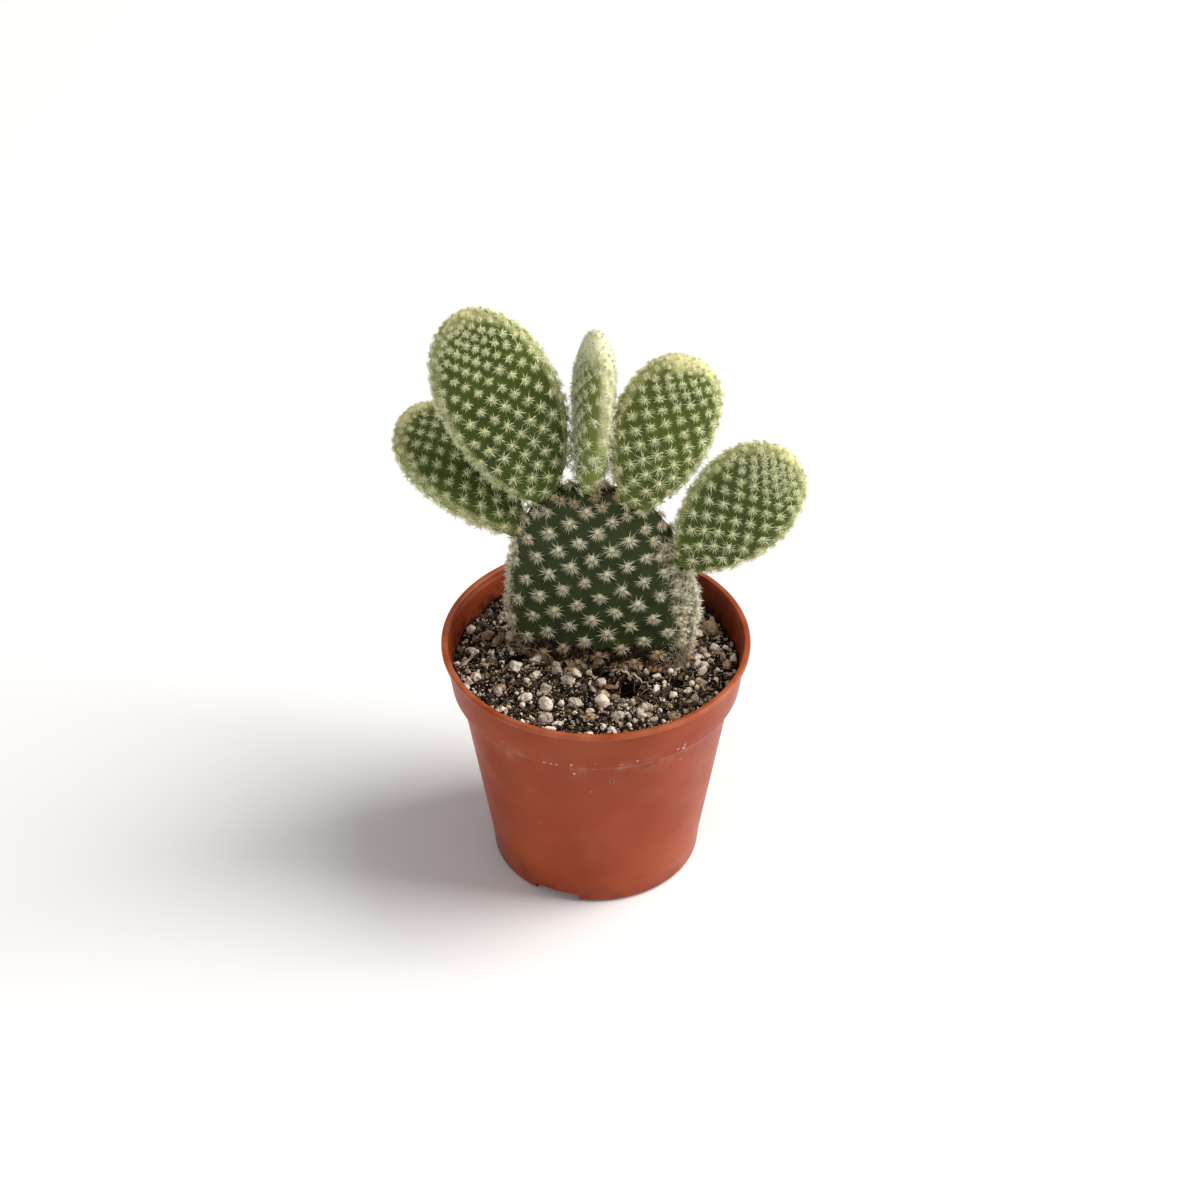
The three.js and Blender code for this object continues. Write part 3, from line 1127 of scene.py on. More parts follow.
@dataclass
class CactusPad:
    """One pad: its skin with a mound under each areole, the tufts on them and the down between."""

    growth: PadGrowth
    finish: Finish
    slot: str
    style: TuftStyle
    order: AreoleOrder
    down: Down
    bristle: BarbedBristle
    tip_shrink: float = 0.27
    shrink_limits: Pair = (0.62, 0.92)
    edge_limits: Pair = (0.35, 0.92)
    foot_limits: Pair = (0.12, 0.8)
    # How much paler the skin is painted: partly youth, partly painted light.
    paleness_and_painted_light: float = 0.0
    edge_spacing: float = 2.1
    edge_start: float = 0.6
    mound_height: float = 0.4
    mound_radius: float = 1.5
    skin_step: float = 0.75
    unevenness: float = 0.22
    uneven_size: float = 17.0
    is_old: bool = False
    seed: int = 1

    TABLE_ROWS = 220
    TABLE_COLUMNS = 361
    EDGE_TRIES = 9000

    # Where on the old pad, as rises, its down ends, its close shoulders start, its top is bare and
    # dry, and its tufts wear and space out.
    OLD_DOWN_END = (0.84, 0.74)
    OLD_SHOULDER = (0.84, 0.92)
    OLD_BARE_TOP = (0.975, 0.995)
    OLD_DRY_TOP = (0.955, 0.985)
    OLD_WORN_TOP = (0.88, 0.95)
    OLD_SPARSE = (0.7, 0.85)

    # Its dry foot, painted dark down to the mix partly as painted shade, and the worn tufts there, as
    # heights in millimetres.
    OLD_DRY_AND_SHADED_FOOT = (74.5, 65.0)
    OLD_WORN_FOOT = (72.0, 65.5)

    def edge_share(self, rise: Array, angle: Array) -> Array:
        """How near the pad's edge a place is: 0 on the flat side and 1 on the edge."""
        away = np.abs(np.sin(angle - math.radians(self.down.edge_turn))) ** (2 / self.growth.squareness)
        deep = self.growth.half_thickness(rise) / (self.growth.thickness / 2) * away
        return 1 - smooth_step(*self.edge_limits, deep)

    def felt_share(self, rise: Array, angle: Array) -> Array:
        """How solid the down stands.

        Args:
            rise: from 0 at the base to 1 at the tip.
            angle: round the section.

        Returns:
            0 on the bare flat side and 1 in the cap round the tip, which only young pads have.
        """
        down = self.down
        edge = smooth_step(*down.edge_from, self.edge_share(rise, angle))
        edge = edge * smooth_step(*down.edge_rise, rise)
        if self.is_old:
            return down.edge_density * (edge * smooth_step(*self.OLD_DOWN_END, rise))
        ragged = rise + 0.012 * np.sin(5 * angle + self.seed) + 0.008 * np.sin(11 * angle)
        cap = smooth_step(down.cap_start - down.cap_blend, down.cap_start + down.cap_blend, ragged)
        return np.maximum(down.edge_density * edge, cap)

    def normals(self, rise: Array, angle: Array) -> tuple[Array, Array]:
        """The skin's own directions at places on it.

        Args:
            rise: from 0 at the base to 1 at the tip.
            angle: round the section.

        Returns:
            The way out of the skin and the way down it, towards the base.
        """
        step = 1e-3
        low, high = np.clip(rise - step, 0.001, 0.999), np.clip(rise + step, 0.001, 0.999)
        upward = self.growth.surface(high, angle) - self.growth.surface(low, angle)
        round_way = self.growth.surface(rise, angle + step) - self.growth.surface(rise, angle - step)
        return unit(np.cross(upward, round_way)), -unit(upward)

    def swell(self, points: Array) -> Array:
        """How far the skin stands out of the plain form at places on it, without its mounds."""
        return self.unevenness * waviness(points, self.uneven_size, default_rng(self.seed))

    def skin_table(self) -> tuple[Array, Array, Array, Array]:
        """A table of the skin.

        Returns:
            Its rises, its angles, its points and the area round each of them.
        """
        rise = (1 - np.cos(np.linspace(0.04, math.pi - 0.02, self.TABLE_ROWS))) / 2
        angle = np.linspace(0, math.tau, self.TABLE_COLUMNS)
        skin = self.growth.surface(*np.meshgrid(rise, angle, indexing="ij"))
        area = np.linalg.norm(np.cross(np.gradient(skin, axis=0), np.gradient(skin, axis=1)), axis=-1)
        return rise, angle, skin, area

    def lay_areoles(self) -> Areoles:
        """Lays the areoles in the order that the pad grew them, each a golden turn from the last.

        They crowd towards the tip, and more of them fill the edge.

        Returns:
            The areoles of the whole pad.
        """
        rise, angle, skin, area = self.skin_table()
        order = self.order
        crowding = 1 + (order.tip_crowding - 1) * smooth_step(0.5, 1.0, rise)
        crowding *= 1 - self.tip_shrink * smooth_step(*self.shrink_limits, rise)
        crowd = area.sum(1) / (order.area * crowding**2)
        rows = np.concatenate([[0.0], np.cumsum((crowd[1:] + crowd[:-1]) / 2)])
        number = np.arange(int(rows[-1])) + order.first_number
        number = number[number < rows[-1]]
        at_rise = np.interp(number, rows, rise)
        turn = (order.first_turn + np.arange(len(number)) * GOLDEN_TURN) % 1.0
        walk = np.linalg.norm(np.diff(skin, axis=1), axis=-1).cumsum(1)
        row = np.interp(number, rows, np.arange(len(rise))).astype(int)
        at_angle = [
            np.interp(t * walk[r, -1], np.concatenate([[0.0], walk[r]]), angle)
            for t, r in zip(turn, row)
        ]
        at_angle = np.array(at_angle)
        flat = ~self.is_crowded(at_rise, at_angle)
        return self.areoles_at(*self.fill_edge(at_rise[flat], at_angle[flat]))

    def is_crowded(self, rise: Array, angle: Array) -> Array:
        """Where the areoles stand close: along the edge and round the tip.

        Args:
            rise: from 0 at the base to 1 at the tip.
            angle: round the section.

        Returns:
            True where they do.
        """
        least = self.edge_start + 0.3 * (1 - smooth_step(*self.foot_limits, rise))
        if self.is_old:
            shoulder = 0.2 * smooth_step(*self.OLD_SHOULDER, rise)
            least = least + (smooth_step(*self.OLD_BARE_TOP, rise) - shoulder)
        return self.edge_share(rise, angle) > least

    def fill_edge(self, at_rise: Array, at_angle: Array) -> tuple[Array, Array]:
        """Adds areoles along the pad's edge and round its tip, where they stand close.

        Args:
            at_rise: the rise of each areole so far.
            at_angle: the angle of each.

        Returns:
            The rises and angles with the new ones added.
        """
        rise, angle, _skin, area = self.skin_table()
        rng = default_rng(self.seed + 70)
        pick = rng.choice(area.size, self.EDGE_TRIES, p=(area / area.sum()).ravel())
        row, column = np.unravel_index(pick, area.shape)
        tries_rise = np.clip(rise[row] + rng.normal(0, 0.003, len(row)), 0.01, 0.998)
        tries_angle = angle[column] + rng.uniform(-0.01, 0.01, len(row))
        wanted = self.is_crowded(tries_rise, tries_angle)
        tries_rise, tries_angle = tries_rise[wanted], tries_angle[wanted]
        if self.is_old:
            gaps = self.edge_spacing * (1.0 + 0.3 * smooth_step(*self.OLD_SPARSE, tries_rise))
        else:
            cap = self.down.cap_start
            gaps = self.edge_spacing * (1.4 - 0.4 * smooth_step(*self.foot_limits, tries_rise))
            gaps *= 1 - 0.3 * smooth_step(cap - 0.12, cap, tries_rise)
        spots = list(self.growth.surface(at_rise, at_angle))
        found = []
        for index, spot in enumerate(self.growth.surface(tries_rise, tries_angle)):
            if np.linalg.norm(np.array(spots) - spot, axis=1).min() > gaps[index]:
                spots.append(spot)
                found.append(index)
        return np.append(at_rise, tries_rise[found]), np.append(at_angle, tries_angle[found])

    def areoles_at(self, at_rise: Array, at_angle: Array) -> Areoles:
        """The areoles at places of the skin, on top of its swell and their own mounds.

        Args:
            at_rise: the rise of each.
            at_angle: the angle of each.

        Returns:
            The areoles, smaller along the edge and under a young pad's cap.
        """
        points = self.growth.surface(at_rise, at_angle)
        outward, down = self.normals(at_rise, at_angle)
        points = points + outward * (self.swell(points) + 0.6 * self.mound_height)[:, None]
        edge = self.edge_share(at_rise, at_angle)
        shrink = 0.0
        if not self.is_old:
            cap = smooth_step(self.down.cap_start - 0.07, self.down.cap_start + 0.01, at_rise)
            shrink = 0.34 * smooth_step(0.2, 0.95, at_rise) + 0.35 * cap - 0.12
        rng = default_rng(self.seed + 60)
        size = (1.0 - 0.2 * edge - shrink) * rng.uniform(0.88, 1.1, len(edge))
        return Areoles(points, outward, down, size, self.age_of(at_rise, edge, points))

    def age_of(self, rise: Array, edge: Array, points: Array) -> Array:
        """How old each tuft looks.

        Args:
            rise: the rise of each.
            edge: how near the pad's edge each is.
            points: where each is.

        Returns:
            0 for cream, 0.5 for tan and 1 for dead brown.
        """
        rng = default_rng(self.seed + 50)
        scatter = rng.uniform(0, 0.09, len(rise))
        if not self.is_old:
            foot = 0.16 * edge * (1 - smooth_step(0.05, 0.4, rise))
            return scatter + foot + smooth_step(0.94, 1.0, rise) * 0.12
        shoulder = smooth_step(*self.OLD_WORN_TOP, rise) * rng.uniform(0.1, 0.5, len(rise))
        foot = smooth_step(*self.OLD_WORN_FOOT, points[:, 2]) * rng.uniform(0.3, 0.9, len(rise))
        return np.clip(scatter + 0.1 * edge + shoulder + foot, 0, 1)

    def skin(self, areoles: Areoles, joined_to: PadGrowth | None) -> None:
        """Makes the pad's skin.

        Args:
            areoles: the areoles that raise it.
            joined_to: the pad that this one grows from, which hides its foot.
        """
        growth = self.growth
        rows = int(growth.length / self.skin_step)
        columns = int(2 * (growth.width + growth.thickness) * 0.8 / self.skin_step)
        start = self.start_rises(columns, joined_to)
        swing = np.linspace(0, math.pi, rows + 1)[1:-1]
        share = (1 - np.cos(swing)) / 2
        rise = start[None, :] + (0.9995 - start[None, :]) * share[:, None]
        angle = self.even_angles(columns)[None, :] + np.zeros_like(rise)
        points = growth.surface(rise, angle)
        outward, _down = self.normals(rise, angle)
        flat = points.reshape(-1, 3)
        near = nearest_distance(flat, areoles.points - areoles.normals * 0.3).reshape(rise.shape)
        mound = np.exp(-((near / self.mound_radius) ** 2))
        points = points + outward * (self.mound_height * (mound - 0.4) + self.swell(points))[..., None]
        foot, tip = points[0].mean(0), growth.surface(np.array(1.0), np.array(0.0))
        flat = np.concatenate([points.reshape(-1, 3), foot[None], tip[None]])
        # The paleness adds painted light as well as youth.
        youth = smooth_step(0.5, 1.0, rise) * 0.1 + self.edge_share(rise, angle) * 0.15 + self.paleness_and_painted_light
        felted = self.felt_share(rise, angle)
        cork = np.zeros_like(rise)
        if self.is_old:
            youth, felted = youth * 0.25, felted * 0.2
            # Dry, and near black down by the mix partly as painted shade.
            dry_and_shaded_foot = 0.75 * smooth_step(*self.OLD_DRY_AND_SHADED_FOOT, points[..., 2])
            cork = np.maximum(dry_and_shaded_foot, 0.6 * smooth_step(*self.OLD_DRY_TOP, rise))
        # The last two points of each are those at the foot and at the tip.
        values = {
            "mound": np.append(mound, [0.0, 0.0]),
            "youth": np.append(youth, [0.0, 0.5]),
            "felted": np.append(felted, [0.0, 0.0 if self.is_old else 1.0]),
            "cork": np.append(cork, [0.0, 0.0]),
        }
        faces = closed_faces(rows - 1, columns)
        make_piece(
            growth.name + "_skin", flat, faces, self.finish.build(), values, (growth.name,))

    def start_rises(self, columns: int, joined_to: PadGrowth | None) -> Array:
        """Finds where the skin comes out of the pad that it grows from.

        Args:
            columns: how many columns of points the skin has.
            joined_to: the pad that it grows from.

        Returns:
            The rise at which each column starts.
        """
        if joined_to is None:
            return np.full(columns, 0.0005)
        rise = np.linspace(0.002, 0.5, 250)
        angle = self.even_angles(columns)
        grid = np.meshgrid(rise, angle, indexing="ij")
        hidden = joined_to.fullness_at(self.growth.surface(*grid), -0.5) < 1
        last = np.where(hidden.any(0), rise[len(rise) - 1 - np.argmax(hidden[::-1], axis=0)], 0.0)
        return np.maximum(last, 0.02)

    def even_angles(self, columns: int) -> Array:
        """Spaces a section's points evenly at the pad's widest place.

        Args:
            columns: how many points there are.

        Returns:
            The angle of each.
        """
        angle = np.linspace(0, math.tau, 1441)
        ring = self.growth.surface(np.full_like(angle, 0.55), angle)
        walked = np.concatenate([[0.0], np.cumsum(np.linalg.norm(np.diff(ring, axis=0), axis=1))])
        return np.interp(np.linspace(0, walked[-1], columns, endpoint=False), walked, angle)

    def down_needles(self, hiding: list[PadGrowth], mix: PottingMix) -> Part:
        """Grows the down: short fine bristles that stand out of the skin between the tufts.

        Args:
            hiding: the pads that may hide some of it.
            mix: the potting mix, which hides what is under it.

        Returns:
            The bristles.
        """
        rng = default_rng(self.seed + 80)
        rise, angle, _skin, area = self.skin_table()
        weight = area * self.felt_share(*np.meshgrid(rise, angle, indexing="ij"))
        count = int(weight.sum() * self.down.per_area)
        pick = rng.choice(area.size, count, p=(weight / weight.sum()).ravel())
        row, column = np.unravel_index(pick, area.shape)
        at_rise = rise[row] + np.gradient(rise)[row] * rng.uniform(-0.5, 0.5, count)
        at_angle = angle[column] + (angle[1] - angle[0]) * rng.uniform(-0.5, 0.5, count)
        at_rise = np.clip(at_rise, 0.002, 0.9985)
        points = self.growth.surface(at_rise, at_angle)
        outward, _down = self.normals(at_rise, at_angle)
        root = points + outward * (self.swell(points) - 0.1)[:, None]
        shown = is_shown(root, hiding, mix)
        root, outward = root[shown], outward[shown]
        way = unit(outward + rng.normal(0, self.down.spread, root.shape))
        tip = root + way * (self.down.length * rng.uniform(0.6, 1.12, (len(root), 1)))
        width = self.down.width * rng.uniform(0.8, 1.25, len(root))
        age = rng.uniform(0, 0.1, len(root)) + smooth_step(0.93, 1.0, at_rise[shown]) * 0.16
        return needles(root, tip, width, rng.uniform(0, 1, len(root)), age)

    def build(self, joined_to: PadGrowth | None, hiding: list[PadGrowth], mix: PottingMix) -> None:
        """Makes the pad's skin and its bristles.

        Args:
            joined_to: the pad that this one grows from.
            hiding: the pads that may hide areoles of this one.
            mix: the potting mix, which hides what is under it.
        """
        areoles = self.lay_areoles()
        self.skin(areoles, joined_to)
        shown = areoles.keep(is_shown(areoles.points, hiding, mix))
        rng = default_rng(self.seed + 100)
        parts = [*tufts(shown, self.style, rng), wool_mounds(shown, self.style, rng)]
        points, faces, values = join_parts([*parts, self.down_needles(hiding, mix)])
        material = self.bristle.shared()
        make_piece(self.growth.name + "_glochids", points, faces, material, values)


def is_shown(points: Array, hiding: list[PadGrowth], mix: PottingMix) -> Array:
    """Finds which points stand clear of the mix and of the pads that may hide them.

    Args:
        points: the points in millimetres.
        hiding: the pads.
        mix: the potting mix.

    Returns:
        True for each that does.
    """
    shown = points[:, 2] > mix.height_at(points[:, 0], points[:, 1]) - 0.3
    for pad in hiding:
        shown &= pad.fullness_at(points, 0.25) > 1
    return shown


def nearest_distance(points: Array, targets: Array) -> Array:
    """Measures from each point to the nearest target.

    Args:
        points: where it measures from.
        targets: where it measures to.

    Returns:
        One distance for each point.
    """
    found = np.empty(len(points))
    for start in range(0, len(points), 4000):
        part = points[start : start + 4000]
        found[start : start + 4000] = np.sqrt(((part[:, None] - targets[None]) ** 2).sum(-1).min(1))
    return found


def tufts(areoles: Areoles, style: TuftStyle, rng: Rng) -> list[Part]:
    """Grows the core and the rays of every tuft of a pad.

    Args:
        areoles: where the tufts stand.
        style: how they stand.
        rng: the seeded source of their directions and lengths.

    Returns:
        The cores and the rays.
    """
    side = np.cross(areoles.normals, areoles.down)
    normal = areoles.normals[:, None]
    scale = areoles.size[:, None]
    parts = []
    for count, is_core in ((style.core_count, True), (style.ray_count, False)):
        shape = (len(areoles.points), count)
        order = np.arange(count)
        spread = np.sqrt(rng.uniform(0, 1, shape))
        turned, jitter = rng.uniform(0, 1, (shape[0], 1)), rng.uniform(-0.4, 0.4, shape)
        azimuth = math.tau * (order / count + turned + jitter / count)
        azimuth = (azimuth + math.pi) % math.tau - math.pi
        if is_core:
            azimuth = rng.uniform(-math.pi, math.pi, shape)
            lean = spread * math.radians(style.core_lean) + rng.normal(0, 0.12, shape)
            length = style.core_length * (1 - 0.25 * spread) * rng.uniform(0.75, 1.15, shape)
            off = spread * style.core_radius
        else:
            azimuth = azimuth * (1 - style.droop * rng.uniform(0, 1, shape))
            lean = np.radians(style.ray_lean - style.ray_lift * rng.uniform(0, 1, shape) ** 1.5)
            length = style.ray_length * rng.uniform(0.7, 1.1, shape)
            off = 0.5 * style.core_radius * spread
        flat = np.cos(azimuth)[..., None] * areoles.down[:, None]
        flat = flat + np.sin(azimuth)[..., None] * side[:, None]
        direction = unit(np.cos(lean)[..., None] * normal + np.sin(lean)[..., None] * flat)
        root = areoles.points[:, None] + flat * (off * scale)[..., None] + normal * 0.12
        tip = root + direction * (length * scale)[..., None]
        bow = None if is_core else normal * (style.arch * length * scale)[..., None]
        width = (style.bristle_width if is_core else style.ray_width) * rng.uniform(0.75, 1.25, shape)
        age = np.broadcast_to(areoles.age[:, None] + (style.core_age if is_core else 0.0), shape)
        parts.append(needles(root, tip, width, rng.uniform(0, 1, shape), age, bow))
    return parts


def needles(
    root: Array, tip: Array, width: Array, tone: Array, age: Array, bow: Array | None = None
) -> Part:
    """Three-sided needles from their roots to their tips, widest at the root or near the middle.

    Args:
        root: where each needle starts.
        tip: where it ends.
        width: how wide it is at its widest.
        tone: its shade.
        age: its age.
        bow: how far its middle bends out. Without it, the needle is straight and widest at the root.

    Returns:
        The points, the faces, and the values at each point.
    """
    root, tip = root.reshape(-1, 3), tip.reshape(-1, 3)
    direction = unit(tip - root)
    other = np.where(np.abs(direction[:, 2:3]) > 0.8, [[1.0, 0.0, 0.0]], [[0.0, 0.0, 1.0]])
    first = unit(np.cross(direction, other))
    second = np.cross(direction, first)
    half = (width.ravel() / 2)[:, None]
    thirds = 0, math.tau / 3, 4 * math.pi / 3
    spokes = [half * (math.cos(a) * first + math.sin(a) * second) for a in thirds]
    corners = [root + spoke for spoke in spokes]
    pattern = [[0, 1, 3], [1, 2, 3], [2, 0, 3]]
    along = [0.0, 0.0, 0.0, 1.0]
    if bow is not None:
        middle = root + 0.45 * (tip - root) + bow.reshape(-1, 3)
        corners = [*(middle + spoke for spoke in spokes), root]
        pattern = [[0, 1, 4], [1, 2, 4], [2, 0, 4], [1, 0, 3], [2, 1, 3], [0, 2, 3]]
        along = [0.5, 0.5, 0.5, 0.2, 1.0]
    size = len(along)
    points = np.stack([*corners, tip], 1).reshape(-1, 3)
    values = {
        "along": np.tile(along, len(root)),
        "tone": np.repeat(tone.ravel(), size),
        "age": np.repeat(age.ravel(), size),
    }
    return points, repeated(np.array(pattern), len(root), size), values


def wool_mounds(areoles: Areoles, style: TuftStyle, rng: Rng) -> Part:
    """Makes a low dome of felt at each areole's middle, which the bristles stand in.

    Args:
        areoles: where the domes are.
        style: how the bristles stand.
        rng: the seeded source of their unevenness and tones.

    Returns:
        The domes.
    """
    sides = 7
    size = 2 * sides + 1
    turns = np.linspace(0, math.tau, sides, endpoint=False)
    side = np.cross(areoles.normals, areoles.down)
    cosine, sine = np.cos(turns)[None, :, None], np.sin(turns)[None, :, None]
    spoke = cosine * areoles.down[:, None] + sine * side[:, None]
    uneven = rng.uniform(0.85, 1.15, (len(areoles.size), sides, 1))
    reach = (style.core_radius * areoles.size)[:, None, None] * uneven
    normal = areoles.normals[:, None]
    centre = areoles.points[:, None]
    rise = (0.6 * style.core_length * areoles.size)[:, None, None]
    low = centre + spoke * reach - normal * 0.35
    high = centre + spoke * reach * 0.8 + normal * rise * 0.7
    top = centre + normal * rise
    points = np.concatenate([low, high, top], 1)
    here, after = np.arange(sides), (np.arange(sides) + 1) % sides
    pattern = np.concatenate([
        np.stack([here, after, after + sides], -1),
        np.stack([here, after + sides, here + sides], -1),
        np.stack([here + sides, after + sides, np.full(sides, 2 * sides)], -1),
    ])
    values = {
        "along": np.tile(np.r_[np.zeros(sides), np.full(sides, 0.4), 0.6], len(points)),
        "tone": rng.uniform(0, 1, len(points) * size),
        "age": np.repeat(areoles.age, size),
    }
    return points.reshape(-1, 3), repeated(pattern, len(points), size), values


# The potting mix


class UnitBall:
    """A ball of radius 1 in triangles, as the start of every loose grain."""

    def __init__(self, fineness: int) -> None:
        """Makes the ball with that many subdivisions."""
        ball = bmesh.new()
        bmesh.ops.create_icosphere(ball, subdivisions=fineness, radius=1.0)
        self.points = np.array([v.co for v in ball.verts])
        self.faces = np.array([[v.index for v in f.verts] for f in ball.faces])
        ball.free()


def broken_grains(
    ball: UnitBall, count: int, rng: Rng, facets: int, lump: float, pores: int
) -> Array:
    """Shapes of grains as if broken and tumbled.

    Args:
        ball: what each grain is cut from.
        count: how many there are.
        rng: the seeded source of their shapes.
        facets: how many flat breaks each has.
        lump: how uneven each is, as a share of its radius.
        pores: how many pits each has.

    Returns:
        The points of each grain, about a radius of 1.
    """
    base = ball.points
    grains = np.repeat(base[None], count, 0)
    ways = unit(rng.normal(size=(count, 6, 3)))
    phase = rng.uniform(0, math.tau, (count, 1, 6))
    pitch = rng.uniform(1.5, 4.5, (count, 1, 6))
    swell = np.sin(np.einsum("vk,nwk->nvw", base, ways) * pitch + phase)
    grains = grains * (1 + lump * swell.mean(-1, keepdims=True) * 2.2)
    for _ in range(facets):
        way = unit(rng.normal(size=(count, 1, 3)))
        depth = rng.uniform(0.66, 0.95, (count, 1))
        proud = np.maximum((grains * way).sum(-1) - depth, 0)
        grains = grains - 0.92 * proud[..., None] * way
    for _ in range(pores):
        way = unit(rng.normal(size=(count, 1, 3)))
        near = 1 - (unit(grains) * way).sum(-1)
        width = rng.uniform(0.015, 0.06, (count, 1))
        grains = grains * (1 - 0.16 * np.exp(-near / width)[..., None])
    return grains


def random_turns(count: int, rng: Rng, flat: bool) -> Array:
    """Draws random rotations.

    Args:
        count: how many.
        rng: the seeded source.
        flat: True turns about the vertical axis with only a small tilt.

    Returns:
        A matrix for each.
    """
    angle = rng.uniform(0, math.tau, count)
    tilt = rng.normal(0, 0.25, count) if flat else rng.uniform(0, math.pi, count)
    c, s, ct, st = np.cos(angle), np.sin(angle), np.cos(tilt), np.sin(tilt)
    zero, one = np.zeros(count), np.ones(count)
    about_z = np.stack([c, -s, zero, s, c, zero, zero, zero, one], -1).reshape(-1, 3, 3)
    about_x = np.stack([one, zero, zero, zero, ct, -st, zero, st, ct], -1).reshape(-1, 3, 3)
    return about_z @ about_x


@dataclass(frozen=True)
class Grade:
    """One sieve size of loose grit: how many grains, how wide, how finely cut, how close."""

    count: int
    least: float
    most: float
    fineness: int
    overlap: float
    is_fine: bool


@dataclass
class PottingMix:
    """The mix that fills the pot: a crumbly peat surface, loose grit in four sizes, and fibres."""

    pot: NurseryPot
    level: float = 62.6
    wave_height: float = 0.4
    waves: tuple[Triple, ...] = ((0.21, 0.24, 0.2), (0.21, -0.24, 1.0), (0.3, 0.35, 0.0))
    hollow: Pair = (8.0, -11.5)
    hollow_depth: float = 1.6
    hollow_radius: float = 6.0
    # The small dark pits between the crumbs: X, Y, half width and half depth of each.
    hollows: tuple[tuple[float, float, float, float], ...] = (
        (8.2, -9.6, 3.0, 2.4), (22.4, -9.0, 2.6, 2.4), (-23.2, 0.8, 2.0, 1.6), (-19.5, 4.0, 2.4, 2.2),
        (-12.1, 2.0, 2.6, 1.5), (1.8, -3.6, 2.6, 1.3), (17.0, -4.4, 2.4, 1.5),
    )
    pit_depth: float = 2.6
    prill_count: int = 11
    prill_widths: Pair = (1.1, 1.8)
    prill_spacing: float = 3.0
    # The rootlet's bends: X, Y and how high each lies over the mix.
    root_path: tuple[Triple, ...] = (
        (5.6, -4.6, 1.0), (6.9, -4.2, 1.8), (7.6, -5.4, 2.3), (8.7, -4.9, 1.7),
        (9.5, -6.4, 1.3), (10.3, -5.8, 2.2), (11.6, -7.7, 1.9), (12.2, -7.2, 1.2),
        (12.7, -9.3, 1.4), (14.0, -9.4, 1.8), (14.4, -11.0, 0.9),
    )
    root_radius: float = 0.34
    fibre_count: int = 600
    fibre_radii: Pair = (0.05, 0.13)
    fibre_taper: tuple[float, ...] = (0.3, 0.9, 1.0, 1.0, 1.0, 0.8, 0.15)
    wall_gap: float = 0.1
    grades: tuple[Grade, ...] = (
        Grade(34, 2.6, 3.7, 3, 0.85, False),
        Grade(120, 2.0, 2.6, 3, 0.8, False),
        Grade(200, 1.4, 2.0, 2, 0.72, False),
        Grade(820, 0.85, 1.4, 2, 0.62, True),
        Grade(2700, 0.45, 0.85, 1, 0.42, True),
    )
    dust_count: int = 3000
    dust_widths: Pair = (0.24, 0.5)
    # What share of the coarse and of the fine grains each kind is.
    mixture: dict[Mineral, Pair] = field(default_factory=lambda: {
        Mineral.PERLITE: (0.30, 0.20),
        Mineral.PUMICE: (0.25, 0.18),
        Mineral.BARK: (0.18, 0.15),
        Mineral.CRUMB: (0.27, 0.47),
    })
    rings: int = 92
    segments: int = 330
    seed: int = 7

    SPOT_TRIES = 12

    def height_at(self, x: Array, y: Array) -> Array:
        """The height of the mix's surface, without its crumbs."""
        rolling = sum(np.sin(a * x + b * y + c) for a, b, c in self.waves)
        away = np.hypot(x - self.hollow[0], y - self.hollow[1]) / self.hollow_radius
        return self.level + self.wave_height * rolling - self.hollow_depth * np.exp(-(away**2))

    def pits(self, x: Array, y: Array) -> Array:
        """How deep each place lies in one of the dark hollows, from 0 to about 1."""
        return sum(np.exp(-(((x - a) / w) ** 2) - ((y - b) / d) ** 2) for a, b, w, d in self.hollows)

    def in_hollow(self, x: float, y: float, radius: float) -> bool:
        """Whether a grain would fill one of the dark hollows between the crumbs."""
        return any(
            math.hypot((x - a) / w, (y - b) / d) < 1 + 0.5 * radius / w for a, b, w, d in self.hollows)

    def edge_radius(self) -> float:
        """Where the mix meets the pot's wall."""
        return self.pot.collar_radius(self.level) - self.pot.wall - self.wall_gap / 2

    def surface(self) -> None:
        """Makes the peat: a crumbly top, and the side and bottom that the pot hides."""
        rng = default_rng(self.seed)
        turns = np.linspace(0, math.tau, self.segments, endpoint=False)
        radii = self.edge_radius() * np.linspace(1, 0, self.rings + 1)[:-1] ** 0.85
        x, y = radii[:, None] * np.cos(turns), radii[:, None] * np.sin(turns)
        z = self.height_at(x, y)
        place = np.stack([x, y, np.zeros_like(x)], -1)
        crumbs = waviness(place, 4.5, rng, 14) * 0.3 + np.abs(waviness(place, 2.2, rng, 14)) * 0.35
        crumbs += np.abs(waviness(place, 1.1, rng, 14)) * 0.3 + rng.uniform(-0.12, 0.16, x.shape)
        pits = self.pits(x, y)
        top = np.stack([x, y, z + crumbs - self.pit_depth * pits], -1).reshape(-1, 3)
        pot = self.pot
        floor = pot.floor_underside + pot.floor_thickness + self.wall_gap / 2
        side = [
            (pot.wall_radius(floor) - pot.wall - 3 * self.wall_gap, floor),
            (pot.wall_radius(floor + 4) - pot.wall - self.wall_gap, floor + 4),
            (pot.body_top_radius - pot.wall - self.wall_gap, pot.body_top_height),
            (pot.collar_foot_radius - pot.wall - self.wall_gap, pot.collar_foot_height + 0.2),
        ]
        below = np.concatenate([around(radius, turns, height) for radius, height in side])
        ends = np.array([[0, 0, floor], [0, 0, float(self.height_at(0.0, 0.0))]])
        points = np.concatenate([below, top, ends])
        # The depth in the hollows, which the peat's material paints near black as painted shade.
        depth = np.zeros(len(points))
        depth[len(below) : len(below) + len(top)] = np.clip(1.3 * pits, 0, 0.95).ravel()
        faces = closed_faces(len(side) + self.rings, self.segments)
        make_piece(
            "peat_bed", points, faces, SiftedPeat().build(), {"depth": depth},
            replaces=("potting_mix",))

